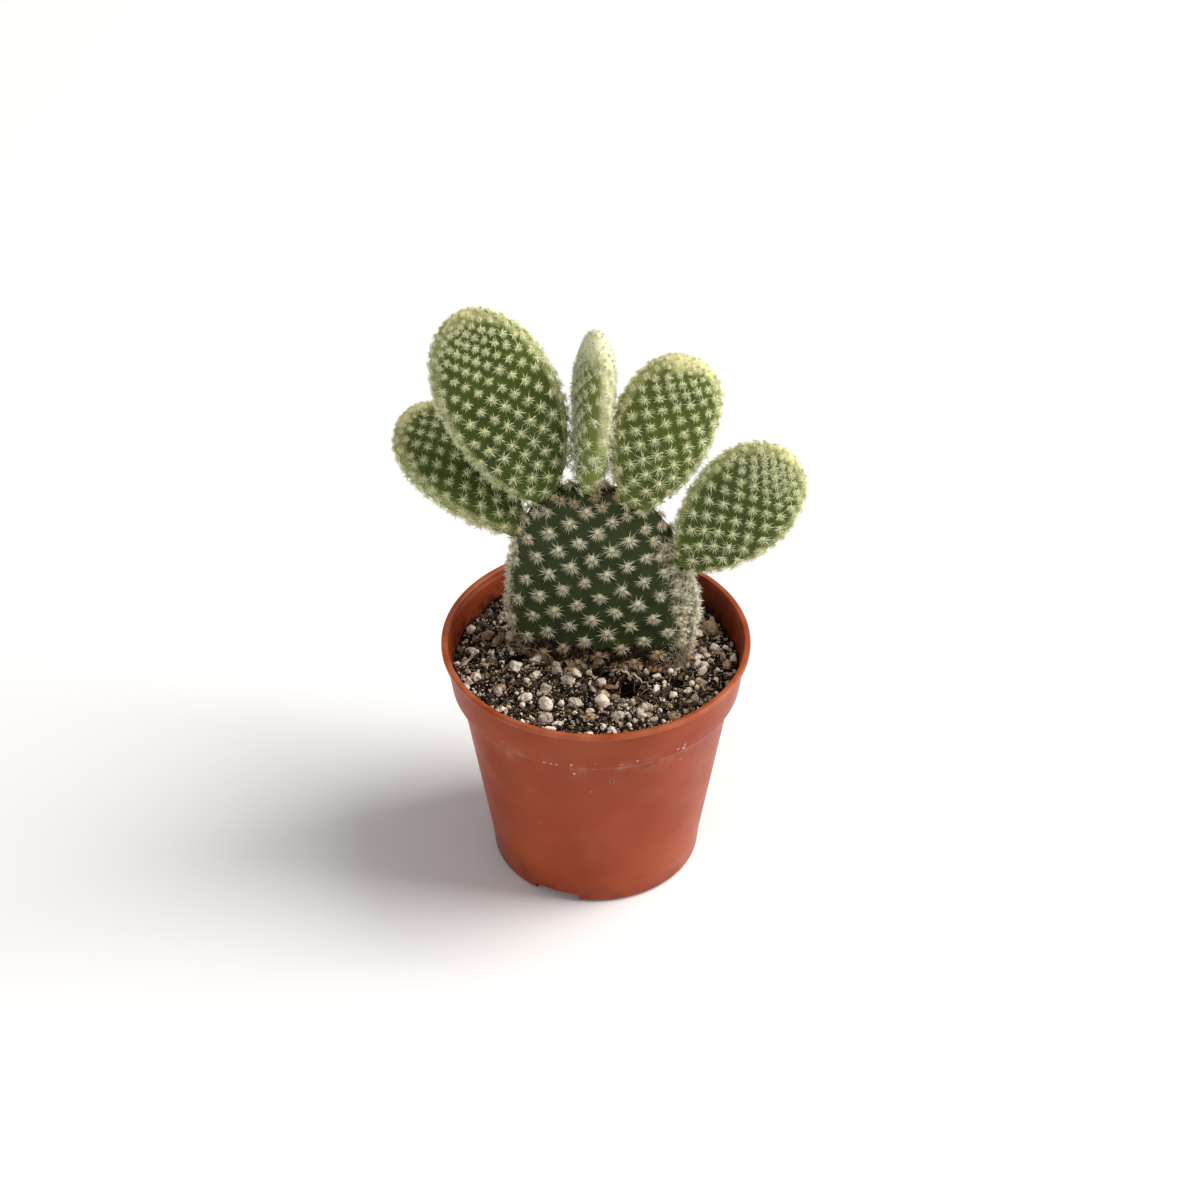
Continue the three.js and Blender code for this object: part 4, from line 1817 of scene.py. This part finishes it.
    def node_grains(self) -> None:
        """Puts a finely broken grain in the place of each of the CAD's larger grains."""
        ball = UnitBall(4)
        kinds = {
            "perlite_grain": Mineral.PERLITE,
            "pumice_grain": Mineral.PUMICE,
            "bark_chip": Mineral.BARK,
        }
        for prefix, mineral in kinds.items():
            material = TumbledGrit(mineral=mineral).build()
            names = sorted(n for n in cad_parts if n.startswith(prefix))
            rng = default_rng(self.seed + len(prefix))
            pores = 10 if mineral is Mineral.BARK else 24
            shapes = broken_grains(ball, len(names), rng, 15, 0.3, pores)
            for shape, name in zip(shapes, names):
                low, high = (np.array(c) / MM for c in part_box(name))
                span = np.ptp(shape, axis=0)
                points = (shape - shape.min(0)) / span * (high - low) + low
                tone = np.full(len(points), rng.uniform(0.6, 1.0))
                make_piece(
                    name + "_broken", points, ball.faces, material, {"tone": tone},
                    (name,))

    def spots(
        self, sizes: Array, taken: list[tuple[float, ...]], old_pad: PadGrowth, rng: Rng, overlap: float
    ) -> Array:
        """Places for loose grains that keep clear of the pad, the hollows and each other.

        Args:
            sizes: the width of each grain.
            taken: place and radius of the grains that lie there, to which these are added.
            old_pad: the pad that stands in the mix.
            rng: the seeded source of places.
            overlap: how near two grains may come, as a share of their radii.

        Returns:
            For each placed grain its X and Y and its number, in three columns.
        """
        placed = []
        there = np.array(taken) if taken else np.zeros((0, 3))
        reach = self.edge_radius()
        for index, radius in enumerate(sizes / 2):
            for _ in range(self.SPOT_TRIES):
                away = (reach - radius * 0.8) * math.sqrt(rng.uniform(0, 1))
                turn = rng.uniform(0, math.tau)
                x, y = away * math.cos(turn), away * math.sin(turn)
                spot = np.array([[x, y, self.level + radius]])
                if old_pad.fullness_at(spot, radius * 0.6)[0] < 1 or self.in_hollow(x, y, radius):
                    continue
                gap = np.hypot(there[:, 0] - x, there[:, 1] - y) - overlap * (there[:, 2] + radius)
                if len(gap) and gap.min() < 0:
                    continue
                there = np.vstack([there, [x, y, radius]])
                placed.append((x, y, index))
                break
        taken[:] = [tuple(row) for row in there]
        return np.array(placed)

    def loose_grit(self, old_pad: PadGrowth) -> None:
        """Scatters the loose grit, large first, so that the smaller grains fill the gaps.

        Args:
            old_pad: the pad that stands in the mix.
        """
        taken = []
        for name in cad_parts:
            if name.startswith(("perlite", "pumice", "bark")):
                low, high = (np.array(c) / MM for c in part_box(name))
                middle = (low + high) / 2
                taken.append((middle[0], middle[1], float((high - low)[:2].mean() / 2)))
        rng = default_rng(self.seed + 3)
        kinds = list(self.mixture)
        bins: dict[Mineral, list[Part]] = {kind: [] for kind in kinds}
        layers = []
        for grade in self.grades:
            sizes = np.sort(rng.uniform(grade.least, grade.most, grade.count))[::-1]
            spots = self.spots(sizes, taken, old_pad, rng, grade.overlap)
            layers.append((spots, sizes, grade.fineness, grade.is_fine))
        layers.append((*self.dust_spots(old_pad, rng), 1, True))
        for spots, sizes, fineness, is_fine in layers:
            shares = np.array([self.mixture[kind][is_fine] for kind in kinds])
            drawn = rng.choice(len(kinds), len(spots), p=shares / shares.sum())
            ball = UnitBall(fineness)
            for number, kind in enumerate(kinds):
                chosen = spots[drawn == number]
                if len(chosen):
                    widths = sizes[chosen[:, 2].astype(int)]
                    bins[kind].append(self.lay_grains(chosen, widths, ball, kind, rng))
        for kind in kinds:
            points, faces, values = join_parts(bins[kind])
            material = TumbledGrit(mineral=kind).shared()
            make_piece("loose_" + kind.label, points, faces, material, values, flat=True)

    def dust_spots(
        self, old_pad: PadGrowth, rng: Rng
    ) -> tuple[Array, Array]:
        """Places for the finest crumbs, which lie anywhere on the peat and between the grains.

        Args:
            old_pad: the pad that stands in the mix.
            rng: the seeded source of places.

        Returns:
            For each crumb its X, Y and number in three columns, and the widths.
        """
        widths = rng.uniform(*self.dust_widths, self.dust_count)
        away = (self.edge_radius() - self.dust_widths[1]) * np.sqrt(rng.uniform(0, 1, self.dust_count))
        turn = rng.uniform(0, math.tau, self.dust_count)
        spots = around(away, turn, np.arange(self.dust_count))
        level = around(away, turn, self.level)
        clear = np.array([not self.in_hollow(x, y, 0.6) for x, y, _ in spots])
        return spots[clear & (old_pad.fullness_at(level, 0.2) > 1)], widths

    def lay_grains(
        self, spots: Array, widths: Array, ball: UnitBall, mineral: Mineral, rng: Rng
    ) -> Part:
        """Shapes grains and lays them, partly sunk, on the peat.

        Args:
            spots: X, Y and number of each grain.
            widths: the width of each.
            ball: what each is cut from.
            mineral: what they are.
            rng: the seeded source of their shapes.

        Returns:
            The points, the faces and each point's tone.
        """
        count = len(spots)
        x, y = spots[:, 0], spots[:, 1]
        shapes = broken_grains(ball, count, rng, 10, 0.34, 0)
        stretch = rng.uniform(0.65, 1.25, (count, 1, 3))
        if mineral is Mineral.BARK:
            stretch = stretch * np.array([1.45, 0.75, 0.5])
        shapes = shapes * stretch * (widths / 2)[:, None, None]
        shapes = np.einsum("nij,nvj->nvi", random_turns(count, rng, mineral is Mineral.BARK), shapes)
        lift = self.height_at(x, y) + widths * rng.uniform(0.12, 0.42, count)
        lift += rng.uniform(0.15, 0.75, count) * smooth_step(1.0, 0.4, widths) + 0.15
        lift -= 0.8 * self.pit_depth * self.pits(x, y)
        centre = np.stack([x, y, lift], -1)
        points = (shapes + centre[:, None]).reshape(-1, 3)
        size = len(ball.points)
        tone = np.repeat(rng.beta(1.5, 1.1, count), size)
        return points, repeated(ball.faces, count, size), {"tone": tone}

    def build(self, old_pad: PadGrowth) -> None:
        """Makes the peat, the grains and the fibres.

        Args:
            old_pad: the pad that they lie round.
        """
        self.surface()
        self.node_grains()
        self.loose_grit(old_pad)
        self.fibres(old_pad)
        self.prills(old_pad)
        self.rootlet()

    def prills(self, old_pad: PadGrowth) -> None:
        """Lays a few smooth white feed beads on top of the mix.

        Args:
            old_pad: the pad that they lie round.
        """
        rng = default_rng(self.seed + 21)
        sizes = rng.uniform(*self.prill_widths, self.prill_count)
        spots = self.spots(sizes, [], old_pad, rng, self.prill_spacing)
        ball = UnitBall(3)
        shapes = broken_grains(ball, len(spots), rng, 1, 0.03, 0)
        widths = sizes[spots[:, 2].astype(int)]
        lift = self.height_at(spots[:, 0], spots[:, 1]) + 0.9 + 0.3 * widths
        centre = np.stack([spots[:, 0], spots[:, 1], lift], -1)
        points = (shapes * (widths / 2)[:, None, None] + centre[:, None]).reshape(-1, 3)
        faces = repeated(ball.faces, len(spots), len(ball.points))
        tone = np.repeat(rng.uniform(0.4, 1.0, len(spots)), len(ball.points))
        prill = Mineral.PRILL
        material = TumbledGrit(mineral=prill, pore_mm=2.4).build()
        make_piece("feed_prills", points, faces, material, {"tone": tone})

    def rootlet(self) -> None:
        """Lays one pale, curly dead root in front of the pad."""
        path = np.array(self.root_path)
        for _ in range(3):
            ahead = 0.75 * path[:-1] + 0.25 * path[1:]
            back = 0.25 * path[:-1] + 0.75 * path[1:]
            path = np.concatenate([path[:1], np.stack([ahead, back], 1).reshape(-1, 3), path[-1:]])
        path[:, 2] += self.height_at(path[:, 0], path[:, 1]) - 0.2
        share = np.linspace(0, 1, len(path))
        thick = self.root_radius * (1.1 - 0.55 * share) * np.sin(math.pi * (0.05 + 0.9 * share)) ** 0.4
        points, faces = strands(path[None], thick[None], 8)
        tone = np.full(len(points), 0.95)
        material = DriedFibre(name="dried_rootlet", pale="#d9c7a6").build()
        make_piece("curled_rootlet", points, faces, material, {"tone": tone})

    def fibres(self, old_pad: PadGrowth) -> None:
        """Lays peat fibres and rootlets on the mix, each a thin tapered strand on a bent line.

        Args:
            old_pad: the pad that stands in the mix.
        """
        rng = default_rng(self.seed + 9)
        steps, sides = len(self.fibre_taper), 3
        away = (self.edge_radius() - 2.5) * np.sqrt(rng.uniform(0, 1, self.fibre_count))
        turn = rng.uniform(0, math.tau, self.fibre_count)
        middle = around(away, turn, self.level + 1)
        middle = middle[old_pad.fullness_at(middle, 0.5) > 1]
        count = len(middle)
        heading = rng.uniform(0, math.tau, count)
        length = rng.gamma(4.0, 0.95, count) + 1.0
        curl = rng.normal(0, 0.9, count)
        share = np.linspace(-0.5, 0.5, steps)
        bearing = heading[:, None] + curl[:, None] * share
        reach = length[:, None]
        x, y = (
            middle[:, axis, None]
            + np.cumsum(part(bearing) * (reach / steps), 1)
            - part(heading)[:, None] * reach / 2
            for axis, part in enumerate((np.cos, np.sin))
        )
        limit = np.minimum(1.0, (self.edge_radius() - 0.5) / np.hypot(x, y))
        x, y = x * limit, y * limit
        arch = rng.uniform(0.2, 1.6, (count, 1)) * (1 - (2 * share) ** 2)
        arch = arch + rng.uniform(0.3, 1.1, (count, 1))
        line = np.stack([x, y, self.height_at(x, y) + arch], -1)
        thick = rng.uniform(*self.fibre_radii, (count, 1)) * np.array(self.fibre_taper)
        points, faces = strands(line, thick, sides)
        tone = np.repeat(rng.beta(1.0, 1.8, count), steps * sides + 2)
        material = DriedFibre().build()
        make_piece("peat_fibres", points, faces, material, {"tone": tone})


def strands(line: Array, radius: Array, sides: int) -> tuple[Array, Array]:
    """Closed tubes along many lines.

    Args:
        line: the points of each line.
        radius: the tube's radius at each point.
        sides: how many sides a tube has.

    Returns:
        The points, each tube's rings and then its two ends, and the faces.
    """
    count, steps, _ = line.shape
    ahead = unit(np.gradient(line, axis=1))
    first = unit(np.cross(ahead, [0.0, 0.0, 1.0]))
    second = np.cross(ahead, first)
    turns = np.linspace(0, math.tau, sides, endpoint=False)
    ring = np.cos(turns)[:, None] * first[:, :, None] + np.sin(turns)[:, None] * second[:, :, None]
    tube = line[:, :, None] + ring * radius[:, :, None, None]
    ends = np.stack([line[:, 0], line[:, -1]], 1)
    points = np.concatenate([tube.reshape(count, -1, 3), ends], 1)
    return points.reshape(-1, 3), repeated(closed_faces(steps, sides), count, points.shape[1])


# The studio


@dataclass(frozen=True)
class PortraitCamera:
    """The camera, at the photograph's viewing angle: a long lens that looks down on the plant."""

    lens_mm: float = 105.0
    sensor_mm: float = 36.0
    elevation: float = 37.9
    distance: float = 952.96
    look_at: Triple = (1.11, 0.0, 85.13)

    def build(self) -> None:
        """Places the camera and makes it the scene's."""
        lens = bpy.data.cameras.new("portrait_camera")
        lens.lens = self.lens_mm
        lens.sensor_width = self.sensor_mm
        lens.clip_start, lens.clip_end = 0.01, 20.0
        camera = add_object("portrait_camera", lens)
        tilt = math.radians(self.elevation)
        away = Vector((0, -math.cos(tilt), math.sin(tilt))) * self.distance
        camera.location = (Vector(self.look_at) + away) * MM
        camera.rotation_euler = (math.pi / 2 - tilt, 0, 0)
        bpy.context.scene.camera = camera


@dataclass(frozen=True)
class SoftLight:
    """A large soft light that looks at the plant from a distance of three metres."""

    name: str
    watts: float
    colour: Triple
    size: Pair
    way: Triple
    distance: float = 3000.0
    aim_height: float = 60.0

    def build(self) -> None:
        """Hangs the light."""
        light = bpy.data.lights.new(self.name, "AREA")
        light.shape, light.energy, light.color = "RECTANGLE", self.watts, self.colour
        light.size, light.size_y = (side * MM for side in self.size)
        lamp = add_object(self.name, light)
        way = Vector(self.way).normalized()
        lamp.location = (way * self.distance + Vector((0, 0, self.aim_height))) * MM
        lamp.rotation_euler = way.to_track_quat("Z", "Y").to_euler()


@dataclass(frozen=True)
class Studio:
    """A white floor, a large soft light from the right, a low one in front, and a white fill."""

    floor_colour: str = "#f7f7f7"
    floor_size: float = 12000.0
    floor_roughness: float = 0.9
    floor_gloss: float = 0.1
    fill: float = 0.33
    key: SoftLight = SoftLight(
        "softbox", watts=156.0, colour=(1.0, 0.98, 0.95), size=(2067.0, 3833.0), way=(0.78, 0.05, 0.64))
    front: SoftLight = SoftLight(
        "low_front_fill", watts=18.0, colour=(1.0, 1.0, 1.0), size=(2200.0, 1500.0),
        way=(-0.75, -0.95, 0.42))

    def build(self) -> None:
        """Makes the floor, the lights and the view's colours."""
        scene = bpy.context.scene
        half = self.floor_size / 2 * MM
        mesh = bpy.data.meshes.new("studio_floor")
        corners = [(-half, -half, 0), (half, -half, 0), (half, half, 0), (-half, half, 0)]
        mesh.from_pydata(corners, [], [(0, 1, 2, 3)])
        paper = bpy.data.materials.new("white_background_paper")
        paper.use_nodes = True
        shader = paper.node_tree.nodes["Principled BSDF"].inputs
        shader["Base Color"].default_value = srgb(self.floor_colour)
        shader["Roughness"].default_value = self.floor_roughness
        shader["Specular IOR Level"].default_value = self.floor_gloss
        mesh.materials.append(paper)
        add_object("studio_floor", mesh)
        world = bpy.data.worlds.new("soft_white")
        world.use_nodes = True
        background = world.node_tree.nodes["Background"].inputs
        background["Strength"].default_value = self.fill
        background["Color"].default_value = (1, 1, 1, 1)
        scene.world = world
        self.key.build()
        self.front.build()
        scene.view_settings.view_transform = "Standard"


# The plant

OLD_PAD = PadGrowth(
    "main_pad", base=(2.1, 2.6, 43.1), lean_side=0.8, lean_back=9, turn=7,
    length=72, width=51, thickness=15, taper=0.0, bend=-4.2, blunt=0.46)
OLD_ORDER = AreoleOrder(area=37.5, tip_crowding=0.96, first_number=0.97, first_turn=0.496)
OLD_BRISTLE = BarbedBristle("bleached_glochid_bristle", "#f2e6ac", "#fefbdc")
OLD_TUFT = TuftStyle(
    core_count=44, core_length=1.3, core_radius=0.88, ray_count=38, ray_length=3.05,
    bristle_width=0.2, ray_width=0.175, droop=0.6, arch=0.12, core_age=0.18)
OLD_DOWN = Down(
    edge_density=0.7, edge_turn=11.0, edge_from=(0.4, 1.0), per_area=8.0, length=2.1, width=0.13,
    spread=0.95)
YOUNG_TUFT = TuftStyle(
    core_count=28, core_length=0.9, core_radius=0.62, ray_count=22, ray_length=2.4,
    bristle_width=0.19, ray_width=0.18, droop=0.08, arch=0.06)


@dataclass(frozen=True)
class YoungPad:
    """What was found for one young pad, and how much paler than the others it is painted: partly its
    youth, partly painted light that lifts faces turned from the lamps.
    """

    growth: PadGrowth
    order: AreoleOrder
    down: Down
    paleness_and_painted_light: float = 0.0
    is_youngest: bool = False


YOUNG_PADS = (
    YoungPad(
        PadGrowth(
            "pad_left", base=(-12.9, 12.2, 109.4), lean_side=-22.3, lean_back=12, turn=-12,
            length=59.5, width=31.5, thickness=9.5, taper=0.16, bend=-1.1),
        AreoleOrder(area=18.22, tip_crowding=0.80, first_number=0.13, first_turn=0.535),
        Down(cap_start=0.98)),
    YoungPad(
        PadGrowth(
            "pad_far_left", base=(-19.6, 12, 97.9), lean_side=-40.8, lean_back=32, turn=-30,
            length=46.6, width=26, thickness=9, taper=0.38, bend=-2.5),
        AreoleOrder(area=16.2, tip_crowding=1.0, first_number=0.11, first_turn=0.064),
        Down(cap_start=0.955), paleness_and_painted_light=0.06),
    YoungPad(
        PadGrowth(
            "pad_center", base=(-2.1, 10.7, 112), lean_side=3, lean_back=24, turn=77,
            length=45.2, width=24, thickness=8.5, taper=0.22, bend=0.9),
        AreoleOrder(area=15.5, tip_crowding=0.8, first_number=0.91, first_turn=0.576),
        Down(
            cap_start=0.86, cap_blend=0.08, edge_density=0.6, edge_turn=-24.0, edge_from=(0.3, 1.0),
            edge_rise=(0.05, 0.8), per_area=10.0, length=1.4, spread=0.6),
        paleness_and_painted_light=0.5, is_youngest=True),
    YoungPad(
        PadGrowth(
            "pad_right", base=(10.3, 8.5, 109.1), lean_side=17.6, lean_back=17, turn=-4,
            length=45.7, width=27, thickness=9, taper=0.2, bend=1.2),
        AreoleOrder(area=16.16, tip_crowding=0.89, first_number=0.22, first_turn=0.585),
        Down(cap_start=0.93), paleness_and_painted_light=0.2),
    YoungPad(
        PadGrowth(
            "pad_far_right", base=(22.9, 4.5, 92.7), lean_side=41.8, lean_back=12, turn=4,
            length=44.7, width=27.8, thickness=9, taper=0.2, bend=-0.6),
        AreoleOrder(area=16.09, tip_crowding=0.69, first_number=0.46, first_turn=0.306),
        Down(cap_start=0.975), paleness_and_painted_light=0.1),
)


@dataclass
class FootLitter:
    """What the old pad has shed round its foot: dead spines, and curled papery scales."""

    mix: PottingMix
    spine_count: int = 900
    scale_count: int = 150
    spine_length: float = 2.6
    spine_width: float = 0.16
    scale_length: float = 2.5
    scale_thickness: float = 0.07
    spine_reach: float = 5.0
    scale_reach: float = 2.5
    seed: int = 31

    def round_the_foot(
        self, count: int, rng: Rng, up: float
    ) -> tuple[Array, Array]:
        """Places just above the mix on the old pad's skin, and the way out of it.

        Args:
            count: how many places.
            rng: the seeded source of places.
            up: how far above the mix they reach, in millimetres.

        Returns:
            The places and the outward directions.
        """
        angle = rng.uniform(0, math.tau, count)
        rise = np.full(count, 0.25)
        wanted = rng.uniform(-0.4, 1.0, count) ** 3 * up
        for _ in range(12):
            points = OLD_PAD.surface(rise, angle)
            error = self.mix.height_at(points[:, 0], points[:, 1]) + wanted - points[:, 2]
            rise = np.clip(rise + error / OLD_PAD.length, 0.05, 0.6)
        out = points - (np.array(OLD_PAD.base) + (rise * OLD_PAD.length)[:, None] * OLD_PAD.axes()[0])
        out[:, 2] = 0
        return points, unit(out)

    def spines(self) -> None:
        """Dead spines that lie every way against the foot and on the mix in front of it."""
        rng = default_rng(self.seed)
        points, out = self.round_the_foot(self.spine_count, rng, self.spine_reach)
        away = out * rng.gamma(1.5, 0.7, (len(points), 1))
        root = points + away + [0, 0, 0.5]
        ground = self.mix.height_at(root[:, 0], root[:, 1]) + 0.5
        root[:, 2] = np.maximum(root[:, 2] - 0.7 * np.linalg.norm(away, axis=1), ground)
        way = unit(rng.normal(size=root.shape) * [1, 1, 0.55] + out * 0.9 + [0, 0, 0.15])
        tip = root + way * (self.spine_length * rng.uniform(0.4, 1.1, (len(root), 1)))
        width = self.spine_width * rng.uniform(0.7, 1.3, len(root))
        tone, age = rng.uniform(0, 1, len(root)), rng.uniform(0.0, 0.75, len(root))
        points, faces, values = needles(root, tip, width, tone, age)
        make_piece("shed_spines", points, faces, OLD_BRISTLE.shared(), values)

    def scales(self) -> None:
        """Papery brown scales, each a small leaf that curls lengthwise and across."""
        rng = default_rng(self.seed + 1)
        points, out = self.round_the_foot(self.scale_count, rng, self.scale_reach)
        centre = points + out * rng.gamma(1.4, 0.6, (len(points), 1))
        ground = self.mix.height_at(centre[:, 0], centre[:, 1])
        centre[:, 2] = ground + rng.uniform(0.5, 1.9, len(centre))
        steps, cross = 6, 5
        along, over = np.meshgrid(np.linspace(-1, 1, steps), np.linspace(-1, 1, cross), indexing="ij")
        half = 0.42 * np.sqrt(np.clip(1 - along**2, 0.02, 1)) * over
        sizes = self.scale_length / 2 * rng.uniform(0.5, 1.1, (len(centre), 1, 1))
        curl = rng.uniform(0.15, 0.5, (len(centre), 1, 1))
        bulge = sizes * curl * (0.8 - along**2) + sizes * 0.5 * (half**2)
        leaf = np.stack([along * sizes, half * sizes, bulge], -1).reshape(len(centre), -1, 3)
        both = np.concatenate([leaf, leaf - [0, 0, self.scale_thickness]], 1)
        both = np.einsum("nij,nvj->nvi", random_turns(len(centre), rng, True), both) + centre[:, None]
        count = steps * cross
        quads = []
        for row in range(steps - 1):
            for column in range(cross - 1):
                corner = row * cross + column
                ring = [corner, corner + cross, corner + cross + 1, corner + 1]
                quads.append(ring)
                quads.append([q + count for q in reversed(ring)])
        rim = [*range(0, count, cross), *range(count - cross + 1, count)]
        rim += [*range(count - cross - 1, 0, -cross), *range(cross - 2, 0, -1)]
        quads += [[b, a, a + count, b + count] for a, b in zip(rim, rim[1:] + rim[:1])]
        faces = repeated(np.array(quads), len(centre), 2 * count)
        tone = np.repeat(rng.beta(1.3, 1.8, len(centre)), 2 * count)
        paper = DriedFibre(name="papery_dead_scale", pale="#d2aa78", dark="#4a2616").build()
        make_piece("papery_scales", both.reshape(-1, 3), faces, paper, {"tone": tone})

    def build(self) -> None:
        """Makes the litter."""
        self.spines()
        self.scales()


@dataclass
class BunnyEarsCactus:
    """The plant: the old pad in the mix and the five young pads on its edge."""

    mix: PottingMix

    def build(self) -> None:
        """Makes every pad with its skin and bristles."""
        old_skin = WaxedCuticle(
            name="old_waxed_cuticle", deep="#273015", fresh=Stain("#3b4521", 8.0, 0.3, 0.7, detail=4.0),
            mottle=Stain("#24301a", 0.6, 0.45, 0.8, 0.35, 3.0), raised="#445027", tip="#586637",
            felt="#b5ae80", sheen=0.1)
        old = CactusPad(
            OLD_PAD, old_skin, "old_pad_skin", OLD_TUFT, OLD_ORDER, OLD_DOWN, OLD_BRISTLE,
            tip_shrink=0.0, edge_spacing=2.5, edge_start=0.72, mound_height=0.5, mound_radius=2.4,
            skin_step=0.62, is_old=True, seed=11)
        old.build(None, [young.growth for young in YOUNG_PADS], self.mix)
        young_looks = WaxedCuticle(name="young_waxed_cuticle"), BarbedBristle()
        # The youngest pad's felt and bristles are paler than the others': partly its youth, partly
        # painted light for faces turned from the lamps.
        youngest_looks_with_painted_light = (
            WaxedCuticle(name="youngest_waxed_cuticle", felt="#fffcd6", tip="#8c9844", sheen=0.35),
            BarbedBristle("youngest_glochid_bristle", "#f6f7a2", "#ffffd0", scatter=0.7))
        for seed, young in enumerate(YOUNG_PADS, start=21):
            skin, bristle = youngest_looks_with_painted_light if young.is_youngest else young_looks
            pad = CactusPad(
                young.growth, skin, "young_pad_skin", YOUNG_TUFT, young.order, young.down, bristle,
                paleness_and_painted_light=young.paleness_and_painted_light, seed=seed)
            pad.build(OLD_PAD, [OLD_PAD], self.mix)
        FootLitter(self.mix).build()


def main() -> None:
    """Builds the pot, the mix, the plant, the camera and the studio."""
    logging.basicConfig(level=logging.INFO, format="%(message)s")
    pot = NurseryPot()
    pot.build()
    mix = PottingMix(pot)
    mix.build(OLD_PAD)
    BunnyEarsCactus(mix).build()
    PortraitCamera().build()
    Studio().build()


if __name__ == "__main__":
    main()
